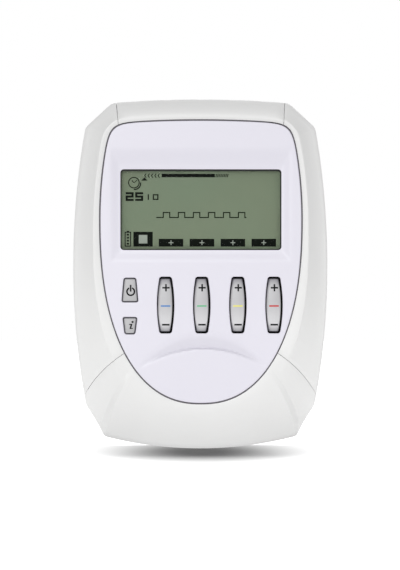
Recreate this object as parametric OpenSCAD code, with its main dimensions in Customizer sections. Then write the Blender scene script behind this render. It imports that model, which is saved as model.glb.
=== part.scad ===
// Four-channel hand-held muscle stimulator, standing on its base.
// X runs across the front, Y from the front to the back, Z up. The origin is the centre of the
// base of the bounding box. Every size is in millimetres.

/* [Body] */
// Overall width across the two side bands
body_w = 102; // [98:1:124]
// Overall height from the base to the top of the socket cap
body_h = 140; // [134:1:170]
// Overall depth from the crown of the rocker keys to the rubber feet
body_d = 36; // [34:0.5:44]
// Wall of the four outer shells and of the rear housing
wall = 1.8; // [1.5:0.1:2.2]
// Depth of the front shells, from their ridge to the parting line
front_depth = 18; // [17:0.5:21]
// Line gap that shows between two neighbouring shells
seam_gap = 0.2; // [0.1:0.05:0.4]

/* [Faceplate] */
// Thickness of the faceplate
face_t = 2; // [1.6:0.1:2.4]
// Distance from the widest part of the body to the faceplate, on each side
face_side = 10.4; // [9:0.1:12]
// Distance from the top of the body to the faceplate
face_top = 8.3; // [7:0.1:10]
// Distance from the base to the faceplate
face_bottom = 18.1; // [16:0.1:19]
// Width of the dark gasket between the faceplate and the shells
gasket_w = 0.6; // [0.4:0.05:0.8]

/* [Display] */
// Width of the display opening
display_w = 64.2; // [54:0.1:66]
// Height of the display opening
display_h = 32.2; // [28:0.1:36]
// Distance from the top of the body down to the display's centre
display_drop = 44.3; // [42:0.1:48]

/* [Keys] */
// Distance between two neighbouring rocker keys
key_pitch = 14.4; // [13:0.1:15.2]
// Length of a rocker key's opening
rocker_h = 22.6; // [20:0.1:25]
// Width of a rocker key's opening at its middle
rocker_w = 6.9; // [6:0.1:7.6]
// Width of a rocker key's opening at its ends
rocker_end_w = 4.8; // [4:0.1:5.4]
// Distance from the top of the body down to the rocker keys' centre
rocker_drop = 82.3; // [80:0.1:86]
// Gap all round a key in its opening
key_gap = 0.5; // [0.4:0.05:0.6]
// How far the rocker keys stand out of the faceplate
key_proud = 0.8; // [0.5:0.05:1]
// Height of the power key's opening
power_h = 9.8; // [8:0.1:11]
// Height of the information key's opening
info_h = 6.9; // [6:0.1:8]

/* [Sockets] */
// Bore of an output socket
socket_bore = 6; // [5:0.1:6.4]
// Depth of an output socket's bore
socket_depth = 9; // [7:0.5:11]
// Distance between two neighbouring sockets on the top
socket_pitch = 13; // [11.5:0.1:13.4]
// Bore of the charger socket
charger_bore = 3.6; // [3:0.1:4]

/* [Battery] */
// Diameter of a battery cell
cell_d = 14.2; // [13:0.1:14.6]
// Length of a battery cell
cell_l = 50; // [44:0.5:51]
// Distance from the base to the battery bay
bay_z = 25; // [24:0.5:30]
// Thickness of the battery door
door_t = 2; // [1.6:0.1:2.4]

/* [Hidden] */
$fn = 48;

WHITE = [0.93, 0.93, 0.93];
LAVENDER = [0.90, 0.89, 0.94];
CHARCOAL = [0.16, 0.16, 0.18];
SILVER = [0.72, 0.72, 0.74];
CHANNELS = [[0.25, 0.55, 0.82], [0.45, 0.78, 0.55], [0.90, 0.88, 0.25], [0.78, 0.15, 0.15]];

half_w = body_w / 2;
fit = 0.1;                                  // slack between pieces that are glued or clipped together

// Depth of each layer, counted from the front.
front_y = -body_d / 2;
face_y = front_y + key_proud;
shell_y = face_y + 0.2;
face_back_y = face_y + face_t;
chassis_t = 1.8;
chassis_back_y = face_back_y + chassis_t;
board_gap = 3.4;                            // room for the display and the switches
board_t = 1.6;
board_y = chassis_back_y + board_gap;
board_back_y = board_y + board_t;
part_y = shell_y + front_depth;

// Depth of each layer, counted from the back.
foot_proud = 0.8;
back_y = body_d / 2 - foot_proud;
back_in_y = back_y - wall;

// ---- Outline of the body, by rays from its centre ----

body_c = [0, body_h / 2];
top_r = 432;
side_r = 314;
side_peak_z = body_h * 0.525;
base_r = 154;
notch_r = 70;
chamfer_top = [half_w - 14.2, body_h - 2.7];
chamfer_side = [half_w - 5.2, body_h - 11];
notch_top = [half_w - 5.4, 16.6];
notch_base = [half_w - 12.4, 4.4];

function unit(v) = v / norm(v);
function turn(v) = [-v[1], v[0]];
function angle_of(p) = atan2(p[1], p[0]);
function ray(a) = [cos(a), sin(a)];

// Distance from c along d to the far side of a circle, and to the near side of one that stands off.
function far_side(c, d, m, r) = let(b = d * (m - c)) b + sqrt(b * b - (m - c) * (m - c) + r * r);
function near_side(c, d, m, r) =
    let(b = d * (m - c), q = b * b - (m - c) * (m - c) + r * r) q > 0 && b > 0 ? b - sqrt(q) : 1e4;
// Distance from c along d to the line through p and q.
function line_side(c, d, p, q) =
    let(n = turn(unit(q - p)), k = n * d) k > 0.001 ? n * (p - c) / k : 1e4;
// The smallest of some distances, rounded off where two are close: a higher p is a tighter corner.
function soft_min(list, p) =
    let(least = min(list)) least * pow(sum([for (v = list) pow(least / v, p)]), -1 / p);
function sum(list) = list * [for (v = list) 1];

notch_c = let(mid = (notch_top + notch_base) / 2, along = notch_base - notch_top, half = norm(along) / 2)
    mid + unit(turn(along)) * sqrt(notch_r * notch_r - half * half);

function body_reach(a) = let(d = ray(a)) soft_min([
    far_side(body_c, d, [0, body_h - top_r], top_r),
    far_side(body_c, d, [half_w - side_r, side_peak_z], side_r),
    far_side(body_c, d, [0, base_r], base_r),
    line_side(body_c, d, chamfer_top, chamfer_side),
    near_side(body_c, d, notch_c, notch_r)
], 170);
// A point of the outline on the right half, at angle a seen from the centre, moved in by inset.
function body_point(a, inset = 0) = body_c + ray(a) * (body_reach(a) - inset);

// ---- Outline of the faceplate, the same way ----

face_c = [0, body_h - 48];
face_half_w = half_w - face_side;
face_low = face_c[1] - face_bottom;
face_power = 2.3;
face_side_r = 165;
face_top_r = 430;

function face_reach(a) = a < 0
    ? pow(pow(cos(a) / face_half_w, face_power) + pow(-sin(a) / face_low, face_power), -1 / face_power)
    : let(d = ray(a)) soft_min([
        far_side(face_c, d, [face_half_w - face_side_r, face_c[1]], face_side_r),
        far_side(face_c, d, [0, body_h - face_top - face_top_r], face_top_r)
    ], 16);
function face_point(a, inset = 0) = face_c + ray(a) * (face_reach(a) - inset);

// ---- Ribs: the lines that run from the faceplate out to the body's outline ----

seam_x = 33.7;
seam_top_a = angle_of([seam_x, body_h - 1.5] - body_c);
chamfer_top_a = angle_of(chamfer_top - body_c);
chamfer_side_a = angle_of(chamfer_side - body_c);
widest_a = angle_of([half_w, side_peak_z] - body_c);
seam_low_a = angle_of([half_w - 4.6, 21.6] - body_c);
notch_top_a = angle_of(notch_top - body_c);
ridge_a = angle_of(notch_base - body_c);

// Body angle to faceplate angle, at each key rib.
face_match = [
    [90, 90],
    [seam_top_a, angle_of([seam_x, body_h - face_top - 1.3] - face_c)],
    [chamfer_side_a, angle_of([face_half_w - 3.6, body_h - 14] - face_c)],
    [widest_a, -3],
    [seam_low_a, angle_of([face_half_w - 9.2, face_bottom + 18.9] - face_c)],
    [ridge_a, angle_of([face_half_w - 13.8, face_bottom + 13.2] - face_c)],
    [-90, -90]
];
// How far a rib bows outward at its middle, and how much of the side bands' hollow cove it has.
bow_match = [[90, 0], [chamfer_side_a, 0], [widest_a, 0], [seam_low_a, 1.5], [ridge_a, 1.6], [-90, 0]];
cove_match = [
    [90, 0], [seam_top_a + 2, 0], [seam_top_a, 0.5], [chamfer_side_a, 1], [seam_low_a, 1],
    [ridge_a, 0], [-90, 0]
];
// Depth of the scoop in each lower corner: it starts at the seam and ends in the ridge.
scoop_match = [[90, 0], [seam_low_a, 0], [ridge_a + 2.5, 2.4], [ridge_a, 0], [-90, 0]];

ridge_v = 0.22;                             // where along a rib the ridge of a side band lies
lip_drop = 0.35;
edge_drop = 8;

function cove(v) = v < ridge_v
    ? lip_drop * pow(1 - v / ridge_v, 2)
    : edge_drop * (1 - pow(1 - (v - ridge_v) / (1 - ridge_v), 1.7));
function dome(v) = lip_drop * pow(1 - v, 6) + edge_drop * pow(v, 2.6);
function level(a, v) = let(w = lookup(a, cove_match))
    shell_y + w * cove(v) + (1 - w) * dome(v) + lookup(a, scoop_match) * pow(v, 1.2);

function rib_plan(a, v, inset = 0) =
    let(f = face_point(lookup(a, face_match)), s = body_point(a, inset), bow = lookup(a, bow_match))
    f + (s - f) * v + turn(unit(s - f)) * bow * 4 * v * (1 - v);
function at_depth(p, y, side) = [side * p[0], y, p[1]];

shares = [0, 0.1, 0.22, 0.3, 0.42, 0.56, 0.7, 0.83, 0.93, 1];
// Closed section of a shell on one rib: the outer face out to the parting line, then back inside.
function inner_level(a, v) = v <= ridge_v ? face_back_y : max(level(a, v) + wall, face_back_y);
function section(a, side) = concat(
    [for (v = shares) at_depth(rib_plan(a, v), level(a, v), side)],
    [at_depth(body_point(a), part_y, side), at_depth(body_point(a, wall), part_y, side)],
    [for (k = [len(shares) - 1 : -1 : 0])
        at_depth(rib_plan(a, shares[k], wall), inner_level(a, shares[k]), side)]
);

// Angles from one key rib to the next in n even steps, without the last.
function steps(from, to, n) = [for (k = [0 : n - 1]) from + (to - from) * k / n];
function flipped(list) = [for (k = [len(list) - 1 : -1 : 0]) list[k]];
half_gap_a = seam_gap / 2 / body_reach(seam_top_a) * 180 / PI;
crown_angles = steps(89, seam_top_a + 1, 6);
corner_angles = concat(
    steps(chamfer_top_a + 0.6, chamfer_side_a + 1.2, 4), steps(chamfer_side_a + 1.2, chamfer_side_a - 2, 4),
    steps(chamfer_side_a - 2, seam_low_a, 15)
);
top_angles = concat([seam_top_a + half_gap_a], flipped(crown_angles));
side_angles = concat([seam_top_a - half_gap_a], corner_angles, [seam_low_a + half_gap_a]);
low_angles = concat(
    steps(notch_top_a + 1.5, notch_top_a - 1.5, 4), steps(notch_top_a - 1.5, ridge_a + 2.5, 4),
    steps(ridge_a + 2.5, ridge_a - 1, 5), steps(ridge_a - 1, -89, 7)
);
base_angles = concat([seam_low_a - half_gap_a], low_angles, [-89]);
outline_angles = concat(
    crown_angles, [seam_top_a], corner_angles, [seam_low_a], low_angles, [-89]
);
// A ring of points once round the right half and back up the left one, at one depth.
function ring(f, y) = concat(
    [for (a = outline_angles) at_depth(f(a), y, 1)],
    [for (a = flipped(outline_angles)) at_depth(f(a), y, -1)]
);
function flat_ring(f) = [for (p = ring(f, 0)) [p[0], p[2]]];

// A solid swept through sections that all have the same number of points.
module sweep(sections) {
    n = len(sections);
    m = len(sections[0]);
    half = m / 2;
    walls = [for (i = [0 : n - 2], j = [0 : m - 1]) let(k = (j + 1) % m, o = i * m, q = o + m)
        each [[o + j, q + k, q + j], [o + j, o + k, q + k]]];
    caps = [for (j = [0 : half - 2], o = [0, (n - 1) * m])
        let(p = [o + j, o + j + 1, o + m - 2 - j, o + m - 1 - j],
            q = o == 0 ? p : [p[3], p[2], p[1], p[0]])
        each [[q[2], q[1], q[0]], [q[3], q[2], q[0]]]];
    polyhedron(points = [for (s = sections) each s], faces = concat(walls, caps));
}

// A flat shape drawn in X and Z, made solid between two depths.
module slab(from_y, to_y) {
    translate([0, to_y, 0]) rotate([90, 0, 0]) linear_extrude(height = to_y - from_y) children();
}
// A round bar along Y, and one along X.
module bar_y(x, z, from_y, to_y, r) {
    slab(from_y, to_y) translate([x, z]) circle(r = r);
}
module bar_x(from_x, to_x, y, z, r) {
    translate([from_x, y, z]) rotate([0, 90, 0]) cylinder(r = r, h = to_x - from_x);
}
module block(from, to) {
    translate(from) cube(to - from);
}
module round_rect(w, h, r) {
    square([w - 2 * r, h], center = true);
    square([w, h - 2 * r], center = true);
    for (x = [-1, 1], y = [-1, 1]) translate([x * (w / 2 - r), y * (h / 2 - r)]) circle(r = r);
}

// A polygon's corners rounded to their own radii, with arcs of n steps.
function rounded(points, radii, n = 6) = [
    for (i = [0 : len(points) - 1])
        let(b = points[i], u = unit(points[(i + len(points) - 1) % len(points)] - b),
            v = unit(points[(i + 1) % len(points)] - b), half = acos(u * v) / 2,
            c = b + unit(u + v) * radii[i] / sin(half), from = b + u * radii[i] / tan(half) - c,
            to = b + v * radii[i] / tan(half) - c, a = angle_of(from),
            swing = (angle_of(to) - a + 540) % 360 - 180)
        for (k = [0 : n]) c + ray(a + swing * k / n) * radii[i]
];

// ---- Places of the pieces, shared by what they fit ----

display_z = body_h - display_drop;
rocker_z = body_h - rocker_drop;
window_t = 1;
window_lap = 1.5;                           // how far the window reaches behind the faceplate
lcd_t = 2;
tray_t = 0.3;
tray_w = 4;
dish_x = 1;
dish_r = 33;

dish_drop = 50;                             // from the middle of the rockers down to the dish's centre
keys_x = 7.5;                               // the row of rockers stands right of the centre
function key_x(i) = keys_x + (i - 1.5) * key_pitch;
key_flange = 1;                             // how far a key's flange reaches behind the faceplate
flange_t = 1;
rocker_swing = 3.5;                         // degrees each way
rocker_crown_r = 40;                        // the drum that a rocker's front is part of
key_travel = 0.6;
small_key_x = -28.3;
small_key_proud = 0.5;
small_key_r = 0.9;
power_z = rocker_z + 6;
power_top_w = 5;
power_low_w = 6.8;
info_z = rocker_z - 8.2;
info_top_w = 6;
info_low_w = 4.3;
shaft_r = 0.75;
shaft_slack = 0.05;
shaft_y = chassis_back_y + 1;
switch_reach = 8;                           // from a rocker's centre to each of its two switches
switch_t = 1.6;
plunger_t = 0.4;
plunger_r = 1.1;
switch_w = 4.4;
plunger_y = board_y - switch_t - plunger_t;

socket_y = shell_y + edge_drop + 5;
sockets_x = -socket_pitch / 2;              // four outputs, then the charger one pitch further on
function socket_x(i) = sockets_x + (i - 1.5) * socket_pitch;
function top_z(x) = body_h - top_r + sqrt(top_r * top_r - x * x);
collar_t = 0.8;
collar_r = socket_bore / 2 + 1.3;
barrel_r = socket_bore / 2 + 0.9;
collar_sink = 0.3;
socket_floor = 2;
charger_depth = 9;

cell_pitch = cell_d + 0.4;
bay_half = 2 * cell_pitch + 0.2;
bay_wall = 2;
contact_t = 0.5;
spring_l = 6;
bay_h = cell_l + spring_l + 2 * contact_t;
bay_top = bay_z + bay_h;
door_y = back_y - door_t;
door_gap = 0.3;
cells_y = door_y - door_gap - cell_d / 2;
bay_y = cells_y - cell_d / 2 - 0.3;
hinge_r = 1.3;
hinge_y = back_y - hinge_r;
hinge_z = bay_top + 3.2;
hinge_pin_r = 0.7;
hinge_pin_l = 0.9;
door_lap = 0.7;                             // how far the door reaches past the bay on each side
door_half = bay_half + door_lap;
door_low = bay_z - door_lap;

post_r = 2.8;
screw_r = 1.25;
screw_head_r = 2.4;
post_end_y = 2;
screw_seat_y = 8;
posts = [
    [-30, body_h - 18], [30, body_h - 18], [-half_w + 15.3, rocker_z + 15], [half_w - 15.3, rocker_z + 15],
    [0, face_bottom + 2.3]
];
board_bosses = [
    for (p = [[24, rocker_z + 16.3], [20, display_z + display_h / 2 + 7.2], [20, 36]], x = [-1, 1])
        [x * p[0], p[1]]
];
boss_r = 2.1;
board_screw_r = 1;
board_head_r = 1.9;
foot_r = 4;
feet = [for (p = [[37, body_h - 23], [27.5, 17]], x = [-1, 1]) [x * p[0], p[1]]];

// ---- Shapes shared by two or more pieces ----

module face_shape(inset) {
    polygon(flat_ring(function (a) face_point(lookup(a, face_match), inset)));
}
module display_shape(grow, r) {
    translate([0, display_z]) round_rect(display_w + 2 * grow, display_h + 2 * grow, r);
}
// A rocker: two shallow arcs that close in towards the flat ends.
module rocker_shape(i, grow) {
    mid = rocker_w / 2 + grow;
    sag = (rocker_w - rocker_end_w) / 2;
    r = (pow(rocker_h / 2, 2) + sag * sag) / (2 * sag);
    translate([key_x(i), rocker_z]) intersection() {
        translate([r - mid, 0]) circle(r = r, $fn = 240);
        translate([mid - r, 0]) circle(r = r, $fn = 240);
        square([2 * mid, rocker_h + 2 * grow], center = true);
    }
}
// A small key: a trapezium of the given widths at its top and its foot.
module small_key_shape(z, top_w, low_w, h, grow) {
    top = top_w / 2 + grow;
    low = low_w / 2 + grow;
    rise = h / 2 + grow;
    r = small_key_r + max(grow, -0.4);
    translate([small_key_x, z])
        polygon(rounded([[top, rise], [-top, rise], [-low, -rise], [low, -rise]], [r, r, r, r]));
}
module power_shape(grow) small_key_shape(power_z, power_top_w, power_low_w, power_h, grow);
module info_shape(grow) small_key_shape(info_z, info_top_w, info_low_w, info_h, grow);
module key_holes(grow) {
    for (i = [0 : 3]) rocker_shape(i, grow);
    power_shape(grow);
    info_shape(grow);
}
// A body's outline lofted to a rounded back, the whole of it set in by extra.
module back_loft(extra, from_y, to_y) {
    round_depth = 6;
    round_inset = 7;
    rings = concat([[from_y, 0]],
        [for (k = [0 : 5]) [to_y - round_depth * (1 - sin(18 * k)), round_inset * (1 - cos(18 * k))]]);
    sweep([for (r = flipped(rings)) ring(function (a) body_point(a, r[1] + extra), r[0])]);
}

// ---- Outer shells ----

module top_cap() color(WHITE) difference() {
    sweep(concat([for (a = top_angles) section(a, -1)], [for (a = flipped(top_angles)) section(a, 1)]));
    for (i = [0 : 4]) translate([socket_x(i), socket_y, 0]) {
        translate([0, 0, body_h - 10]) cylinder(r = barrel_r + fit, h = 12);
        translate([0, 0, top_z(socket_x(i)) - collar_sink - collar_t])
            cylinder(r = collar_r + fit, h = 5);
    }
}

module right_side_band() color(WHITE) sweep([for (a = side_angles) section(a, 1)]);

module left_side_band() color(WHITE) mirror([1, 0, 0]) sweep([for (a = side_angles) section(a, 1)]);

module bottom_cap() color(WHITE) sweep(concat(
    [for (a = base_angles) section(a, 1)], [for (a = flipped(base_angles)) section(a, -1)]
));

module faceplate() color(LAVENDER) difference() {
    slab(face_y, face_back_y) face_shape(gasket_w);
    slab(face_y - 1, face_back_y + 1) {
        display_shape(0, 1.4);
        key_holes(0);
    }
    // The shallow tray round the display, and the round dish under the keys.
    slab(face_y - 1, face_y + tray_t) display_shape(tray_w, tray_w + 1);
    slab(face_y - 1, face_y + tray_t) translate([dish_x, rocker_z - dish_drop]) circle(r = dish_r, $fn = 96);
}

module faceplate_gasket() color(CHARCOAL) difference() {
    slab(face_back_y - 1, face_back_y) face_shape(0.05);
    slab(face_back_y - 2, face_back_y + 1) face_shape(gasket_w - 0.05);
}

module rear_housing() color(WHITE) difference() {
    union() {
        difference() {
            back_loft(0, part_y, back_y);
            back_loft(wall, part_y - 1, back_in_y);
        }
        // Bosses over the chassis posts, and the walls of the battery bay.
        for (p = posts) bar_y(p[0], p[1], post_end_y, back_y - 0.5, post_r + 0.8);
        block([-bay_half - bay_wall, bay_y - bay_wall, bay_z - bay_wall],
            [bay_half + bay_wall, back_in_y + 0.5, bay_top + bay_wall]);
        block([-bay_half - bay_wall - 1, hinge_y - hinge_r - 2, bay_top],
            [bay_half + bay_wall + 1, back_in_y + 0.5, hinge_z + hinge_r + 2]);
        for (p = feet) bar_y(p[0], p[1], back_in_y - 0.8, back_in_y + 0.5, foot_r + 1);
    }
    block([-bay_half, bay_y, bay_z], [bay_half, back_y + 1, bay_top]);
    // The door's recess, with a round groove for its hinge barrel and a hole for each pin.
    block([-door_half - door_gap, door_y - 0.1, door_low - door_gap],
        [door_half + door_gap, back_y + 1, hinge_z]);
    bar_x(-door_half - door_gap, door_half + door_gap, hinge_y, hinge_z, hinge_r + door_gap);
    block([-door_half - door_gap, hinge_y, hinge_z - 1],
        [door_half + door_gap, back_y + 1, hinge_z + hinge_r + door_gap]);
    for (x = [-1, 1]) translate([x * (door_half + door_gap + hinge_pin_l / 2), 0, 0])
        bar_x(-hinge_pin_l, hinge_pin_l, hinge_y, hinge_z, hinge_pin_r + shaft_slack);
    for (p = posts) {
        bar_y(p[0], p[1], screw_seat_y, back_y + 1, screw_head_r + 0.2);
        bar_y(p[0], p[1], post_end_y - 1, screw_seat_y + 1, screw_r + 0.15);
    }
    for (p = feet) bar_y(p[0], p[1], back_in_y, back_y + 1, foot_r + fit);
}

// ---- Chassis and display ----

module front_chassis() color(CHARCOAL) difference() {
    union() {
        slab(face_back_y, chassis_back_y) polygon(flat_ring(function (a) rib_plan(a, 0.15, wall)));
        for (p = posts) bar_y(p[0], p[1], chassis_back_y - 0.5, post_end_y, post_r);
        for (p = board_bosses) bar_y(p[0], p[1], chassis_back_y - 0.5, board_y, boss_r);
        // Ears between the rockers that carry their shaft and prop the board.
        for (i = [0 : 4]) translate([key_x(i) - key_pitch / 2, 0, 0])
            block([-0.75, chassis_back_y - 0.5, rocker_z - 2.5], [0.75, board_y, rocker_z + 2.5]);
    }
    slab(face_back_y - 1, chassis_back_y + 1) {
        display_shape(window_lap + 0.4, 1.8);
        key_holes(key_flange + 0.5);
    }
    bar_x(key_x(0) - key_pitch, key_x(3) + key_pitch, shaft_y, rocker_z, shaft_r + 0.02);
    for (p = posts) bar_y(p[0], p[1], chassis_back_y + 1, post_end_y + 1, screw_r + 0.05);
    for (p = board_bosses) bar_y(p[0], p[1], chassis_back_y - 0.3, board_y + 1, board_screw_r + 0.05);
}

module display_window() color([0.8, 0.85, 0.8, 0.4])
    slab(face_back_y, face_back_y + window_t) display_shape(window_lap, 1.5);

module lcd_panel() color([0.5, 0.55, 0.47])
    slab(face_back_y + window_t, face_back_y + window_t + lcd_t) display_shape(window_lap - 0.2, 0.5);

lcd_back_y = face_back_y + window_t + lcd_t;
light_w = display_w - 2;
light_h = display_h - 4;
light_z = display_z + 1;
strip_h = 1.8;
strip_drop = 1.6;                           // from the light's lower edge to the strip's middle
module lcd_backlight() color([0.95, 0.95, 0.9])
    slab(lcd_back_y, board_y) translate([0, light_z]) round_rect(light_w, light_h, 0.8);

// A rubber contact strip between the glass and the board, under the backlight.
module lcd_connector() color([0.85, 0.45, 0.5])
    slab(lcd_back_y, board_y) translate([0, light_z - light_h / 2 - strip_drop])
        square([light_w, strip_h], center = true);

// The frame that holds the glass, the light and the strip on the board.
module lcd_bezel() color(CHARCOAL) difference() {
    slab(chassis_back_y, board_y) display_shape(window_lap + 1.4, 1);
    slab(chassis_back_y - 1, board_y + 1) display_shape(window_lap - 0.1, 0.6);
}

// ---- Board ----

board_half = half_w - 17.5;
board_low = face_bottom + 11;
board_top = body_h - 14;
module main_board() color([0.1, 0.4, 0.25]) slab(board_y, board_back_y) difference() {
    intersection() {
        translate([-board_half, board_low]) square([2 * board_half, board_top - board_low]);
        face_shape(2.5);
    }
    for (p = posts) translate(p) circle(r = post_r + 0.5);
    for (p = board_bosses) translate(p) circle(r = board_screw_r + 0.1);
}

module tact_switch(x, z) {
    slab(board_y - switch_t, board_y) translate([x, z]) square([switch_w, switch_w], center = true);
    bar_y(x, z, plunger_y, board_y - switch_t + 0.1, plunger_r);
}

module key_switches() color([0.75, 0.75, 0.75]) {
    for (i = [0 : 3], side = [-1, 1]) tact_switch(key_x(i), rocker_z + side * switch_reach);
    tact_switch(small_key_x, power_z);
    tact_switch(small_key_x, info_z);
}

module processor_chip() color(CHARCOAL)
    slab(board_back_y, board_back_y + 1.4) translate([-4, rocker_z + 8]) square([12, 12], center = true);

module board_components() color([0.55, 0.4, 0.25]) {
    // Reservoir capacitors, then two rows of small chip parts.
    for (x = [-24, -17, 17, 24]) bar_y(x, rocker_z - 5, board_back_y, board_back_y + 5.5, 3);
    for (x = [-12 : 4 : 12], z = [-9, -13])
        slab(board_back_y, board_back_y + 0.8) translate([x, rocker_z + z]) square([2, 1.2], center = true);
    slab(board_back_y, board_back_y + 3) translate([14, rocker_z + 9]) square([7, 7], center = true);
}

transformer_z = display_z + 4;
module output_transformers() color([0.3, 0.25, 0.2]) for (i = [0 : 3]) translate([(i - 1.5) * 15.5, 0, 0]) {
    slab(board_back_y, board_back_y + 3) translate([0, transformer_z]) square([13, 14], center = true);
    slab(board_back_y + 2.5, board_back_y + 9) translate([0, transformer_z]) square([8, 13], center = true);
    slab(board_back_y + 8.5, board_back_y + 11) translate([0, transformer_z]) square([13, 14], center = true);
}

module buzzer() color(CHARCOAL) difference() {
    bar_y(0, transformer_z + 17, board_back_y, board_back_y + 5, 6);
    bar_y(0, transformer_z + 17, board_back_y + 4, board_back_y + 6, 1);
}

// ---- Keys ----

module rocker_shaft() color(SILVER)
    bar_x(key_x(0) - key_pitch / 2 - 1.5, key_x(3) + key_pitch / 2 + 0.9, shaft_y, rocker_z, shaft_r);

// A rocker key: its crown is part of a large drum, its flange stays behind the faceplate.
module channel_key(i) {
    foot_y = plunger_y - tan(rocker_swing) * (switch_reach + 1.5) - 0.1;
    flange_y = face_back_y + tan(rocker_swing) * (rocker_h / 2 + key_flange) + 0.1;
    color(SILVER) difference() {
        union() {
            intersection() {
                slab(front_y - 1, flange_y + flange_t) rocker_shape(i, -key_gap);
                translate([key_x(i) - rocker_w, front_y + rocker_crown_r, rocker_z]) rotate([0, 90, 0])
                    cylinder(r = rocker_crown_r, h = 2 * rocker_w, $fn = 720);
            }
            slab(flange_y, flange_y + flange_t) rocker_shape(i, key_flange);
            bar_x(key_x(i) - 3, key_x(i) + 3, shaft_y, rocker_z, shaft_r + 1);
            for (side = [-1, 1]) bar_y(key_x(i), rocker_z + side * switch_reach, flange_y, foot_y, 1.2);
        }
        bar_x(key_x(i) - 8, key_x(i) + 8, shaft_y, rocker_z, shaft_r + shaft_slack);
    }
}
module channel_key_1() channel_key(0);
module channel_key_2() channel_key(1);
module channel_key_3() channel_key(2);
module channel_key_4() channel_key(3);

small_key_y = face_y - small_key_proud;
small_flange_y = face_back_y + 0.1;
small_foot_y = plunger_y - key_travel - 0.1;
module power_key() color(SILVER) {
    slab(small_key_y, small_flange_y + flange_t) power_shape(-key_gap);
    slab(small_flange_y, small_flange_y + flange_t) power_shape(key_flange);
    bar_y(small_key_x, power_z, small_flange_y, small_foot_y, 1.3);
}
module info_key() color(SILVER) {
    slab(small_key_y, small_flange_y + flange_t) info_shape(-key_gap);
    slab(small_flange_y, small_flange_y + flange_t) info_shape(key_flange);
    bar_y(small_key_x, info_z, small_flange_y, small_foot_y, 1.3);
}

// ---- Sockets ----

// A barrel hung from the top cap, with a blind bore that opens upward.
module socket_barrel(i, bore, depth, floor_t) {
    top = top_z(socket_x(i)) - collar_sink - collar_t;
    translate([socket_x(i), socket_y, 0]) difference() {
        translate([0, 0, top + collar_t - depth - floor_t])
            cylinder(r = barrel_r, h = depth + floor_t - collar_t);
        translate([0, 0, top + collar_t - depth]) cylinder(r = bore / 2, h = depth + 1);
    }
}
module socket_collar(i, bore) {
    top = top_z(socket_x(i)) - collar_sink;
    translate([socket_x(i), socket_y, top - collar_t]) difference() {
        cylinder(r = collar_r, h = collar_t);
        translate([0, 0, -1]) cylinder(r = bore / 2, h = collar_t + 2);
    }
}
module output_socket(i) color(CHARCOAL) difference() {
    socket_barrel(i, socket_bore, socket_depth, socket_floor);
    for (x = [-1, 1]) contact_pin(i, x, fit);
}
module contact_pin(i, x, grow) {
    top = top_z(socket_x(i)) - collar_sink - socket_depth;
    translate([socket_x(i) + x * 1.3, socket_y, top - socket_floor - 2])
        cylinder(r = 0.6 + grow, h = socket_floor + 2 + grow, $fn = 24);
}
module socket_contacts() color([0.85, 0.7, 0.35]) for (i = [0 : 3], x = [-1, 1]) contact_pin(i, x, 0);

module output_socket_1() output_socket(0);
module output_socket_2() output_socket(1);
module output_socket_3() output_socket(2);
module output_socket_4() output_socket(3);
module socket_collar_1() color(CHANNELS[0]) socket_collar(0, socket_bore);
module socket_collar_2() color(CHANNELS[1]) socket_collar(1, socket_bore);
module socket_collar_3() color(CHANNELS[2]) socket_collar(2, socket_bore);
module socket_collar_4() color(CHANNELS[3]) socket_collar(3, socket_bore);
module charger_socket() color(CHARCOAL) socket_barrel(4, charger_bore, charger_depth, socket_floor);
module charger_collar() color(SILVER) socket_collar(4, charger_bore);

// ---- Battery ----

function cell_x(i) = (i - 1.5) * cell_pitch;
nub_l = 1;
nub_r = 2.6;
module battery_cells() color([0.3, 0.55, 0.35]) for (i = [0 : 3]) {
    up = i % 2 == 0;
    low = bay_z + contact_t + (up ? spring_l : nub_l);
    translate([cell_x(i), cells_y, low]) cylinder(d = cell_d, h = cell_l - nub_l);
    translate([cell_x(i), cells_y, up ? low + cell_l - nub_l - 0.5 : low - nub_l])
        cylinder(r = nub_r, h = nub_l + 0.5);
}
// A tapered coil, drawn as one turned solid with a groove between its turns.
module coil_spring() {
    turns = 5;
    rise = spring_l / turns;
    rotate_extrude() polygon(concat([[0, 0]],
        [for (k = [0 : turns - 1]) each [[4.2 - 0.3 * k, k * rise], [4.2 - 0.3 * k, (k + 0.6) * rise],
            [3.4 - 0.3 * k, (k + 0.8) * rise]]], [[0, spring_l]]));
}
module battery_springs() color(SILVER) for (i = [0 : 3]) {
    up = i % 2 == 0;
    translate([cell_x(i), cells_y, up ? bay_z + contact_t : bay_top - contact_t]) mirror([0, 0, up ? 0 : 1])
        coil_spring();
}
module battery_plates() color(SILVER) for (i = [0 : 3], z = [bay_z, bay_top - contact_t])
    block([cell_x(i) - 5.5, cells_y - 5, z], [cell_x(i) + 5.5, cells_y + 5, z + contact_t]);

module battery_door() color(WHITE) {
    difference() {
        block([-door_half, door_y, door_low], [door_half, back_y, hinge_z]);
        // Grip grooves near the lower edge.
        for (k = [0 : 4]) bar_x(-11, 11, back_y + 0.35, door_low + 4 + 1.8 * k, 0.75);
    }
    bar_x(-door_half, door_half, hinge_y, hinge_z, hinge_r);
    bar_x(-door_half - hinge_pin_l, door_half + hinge_pin_l, hinge_y, hinge_z, hinge_pin_r);
}

// ---- Fasteners and feet ----

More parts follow.
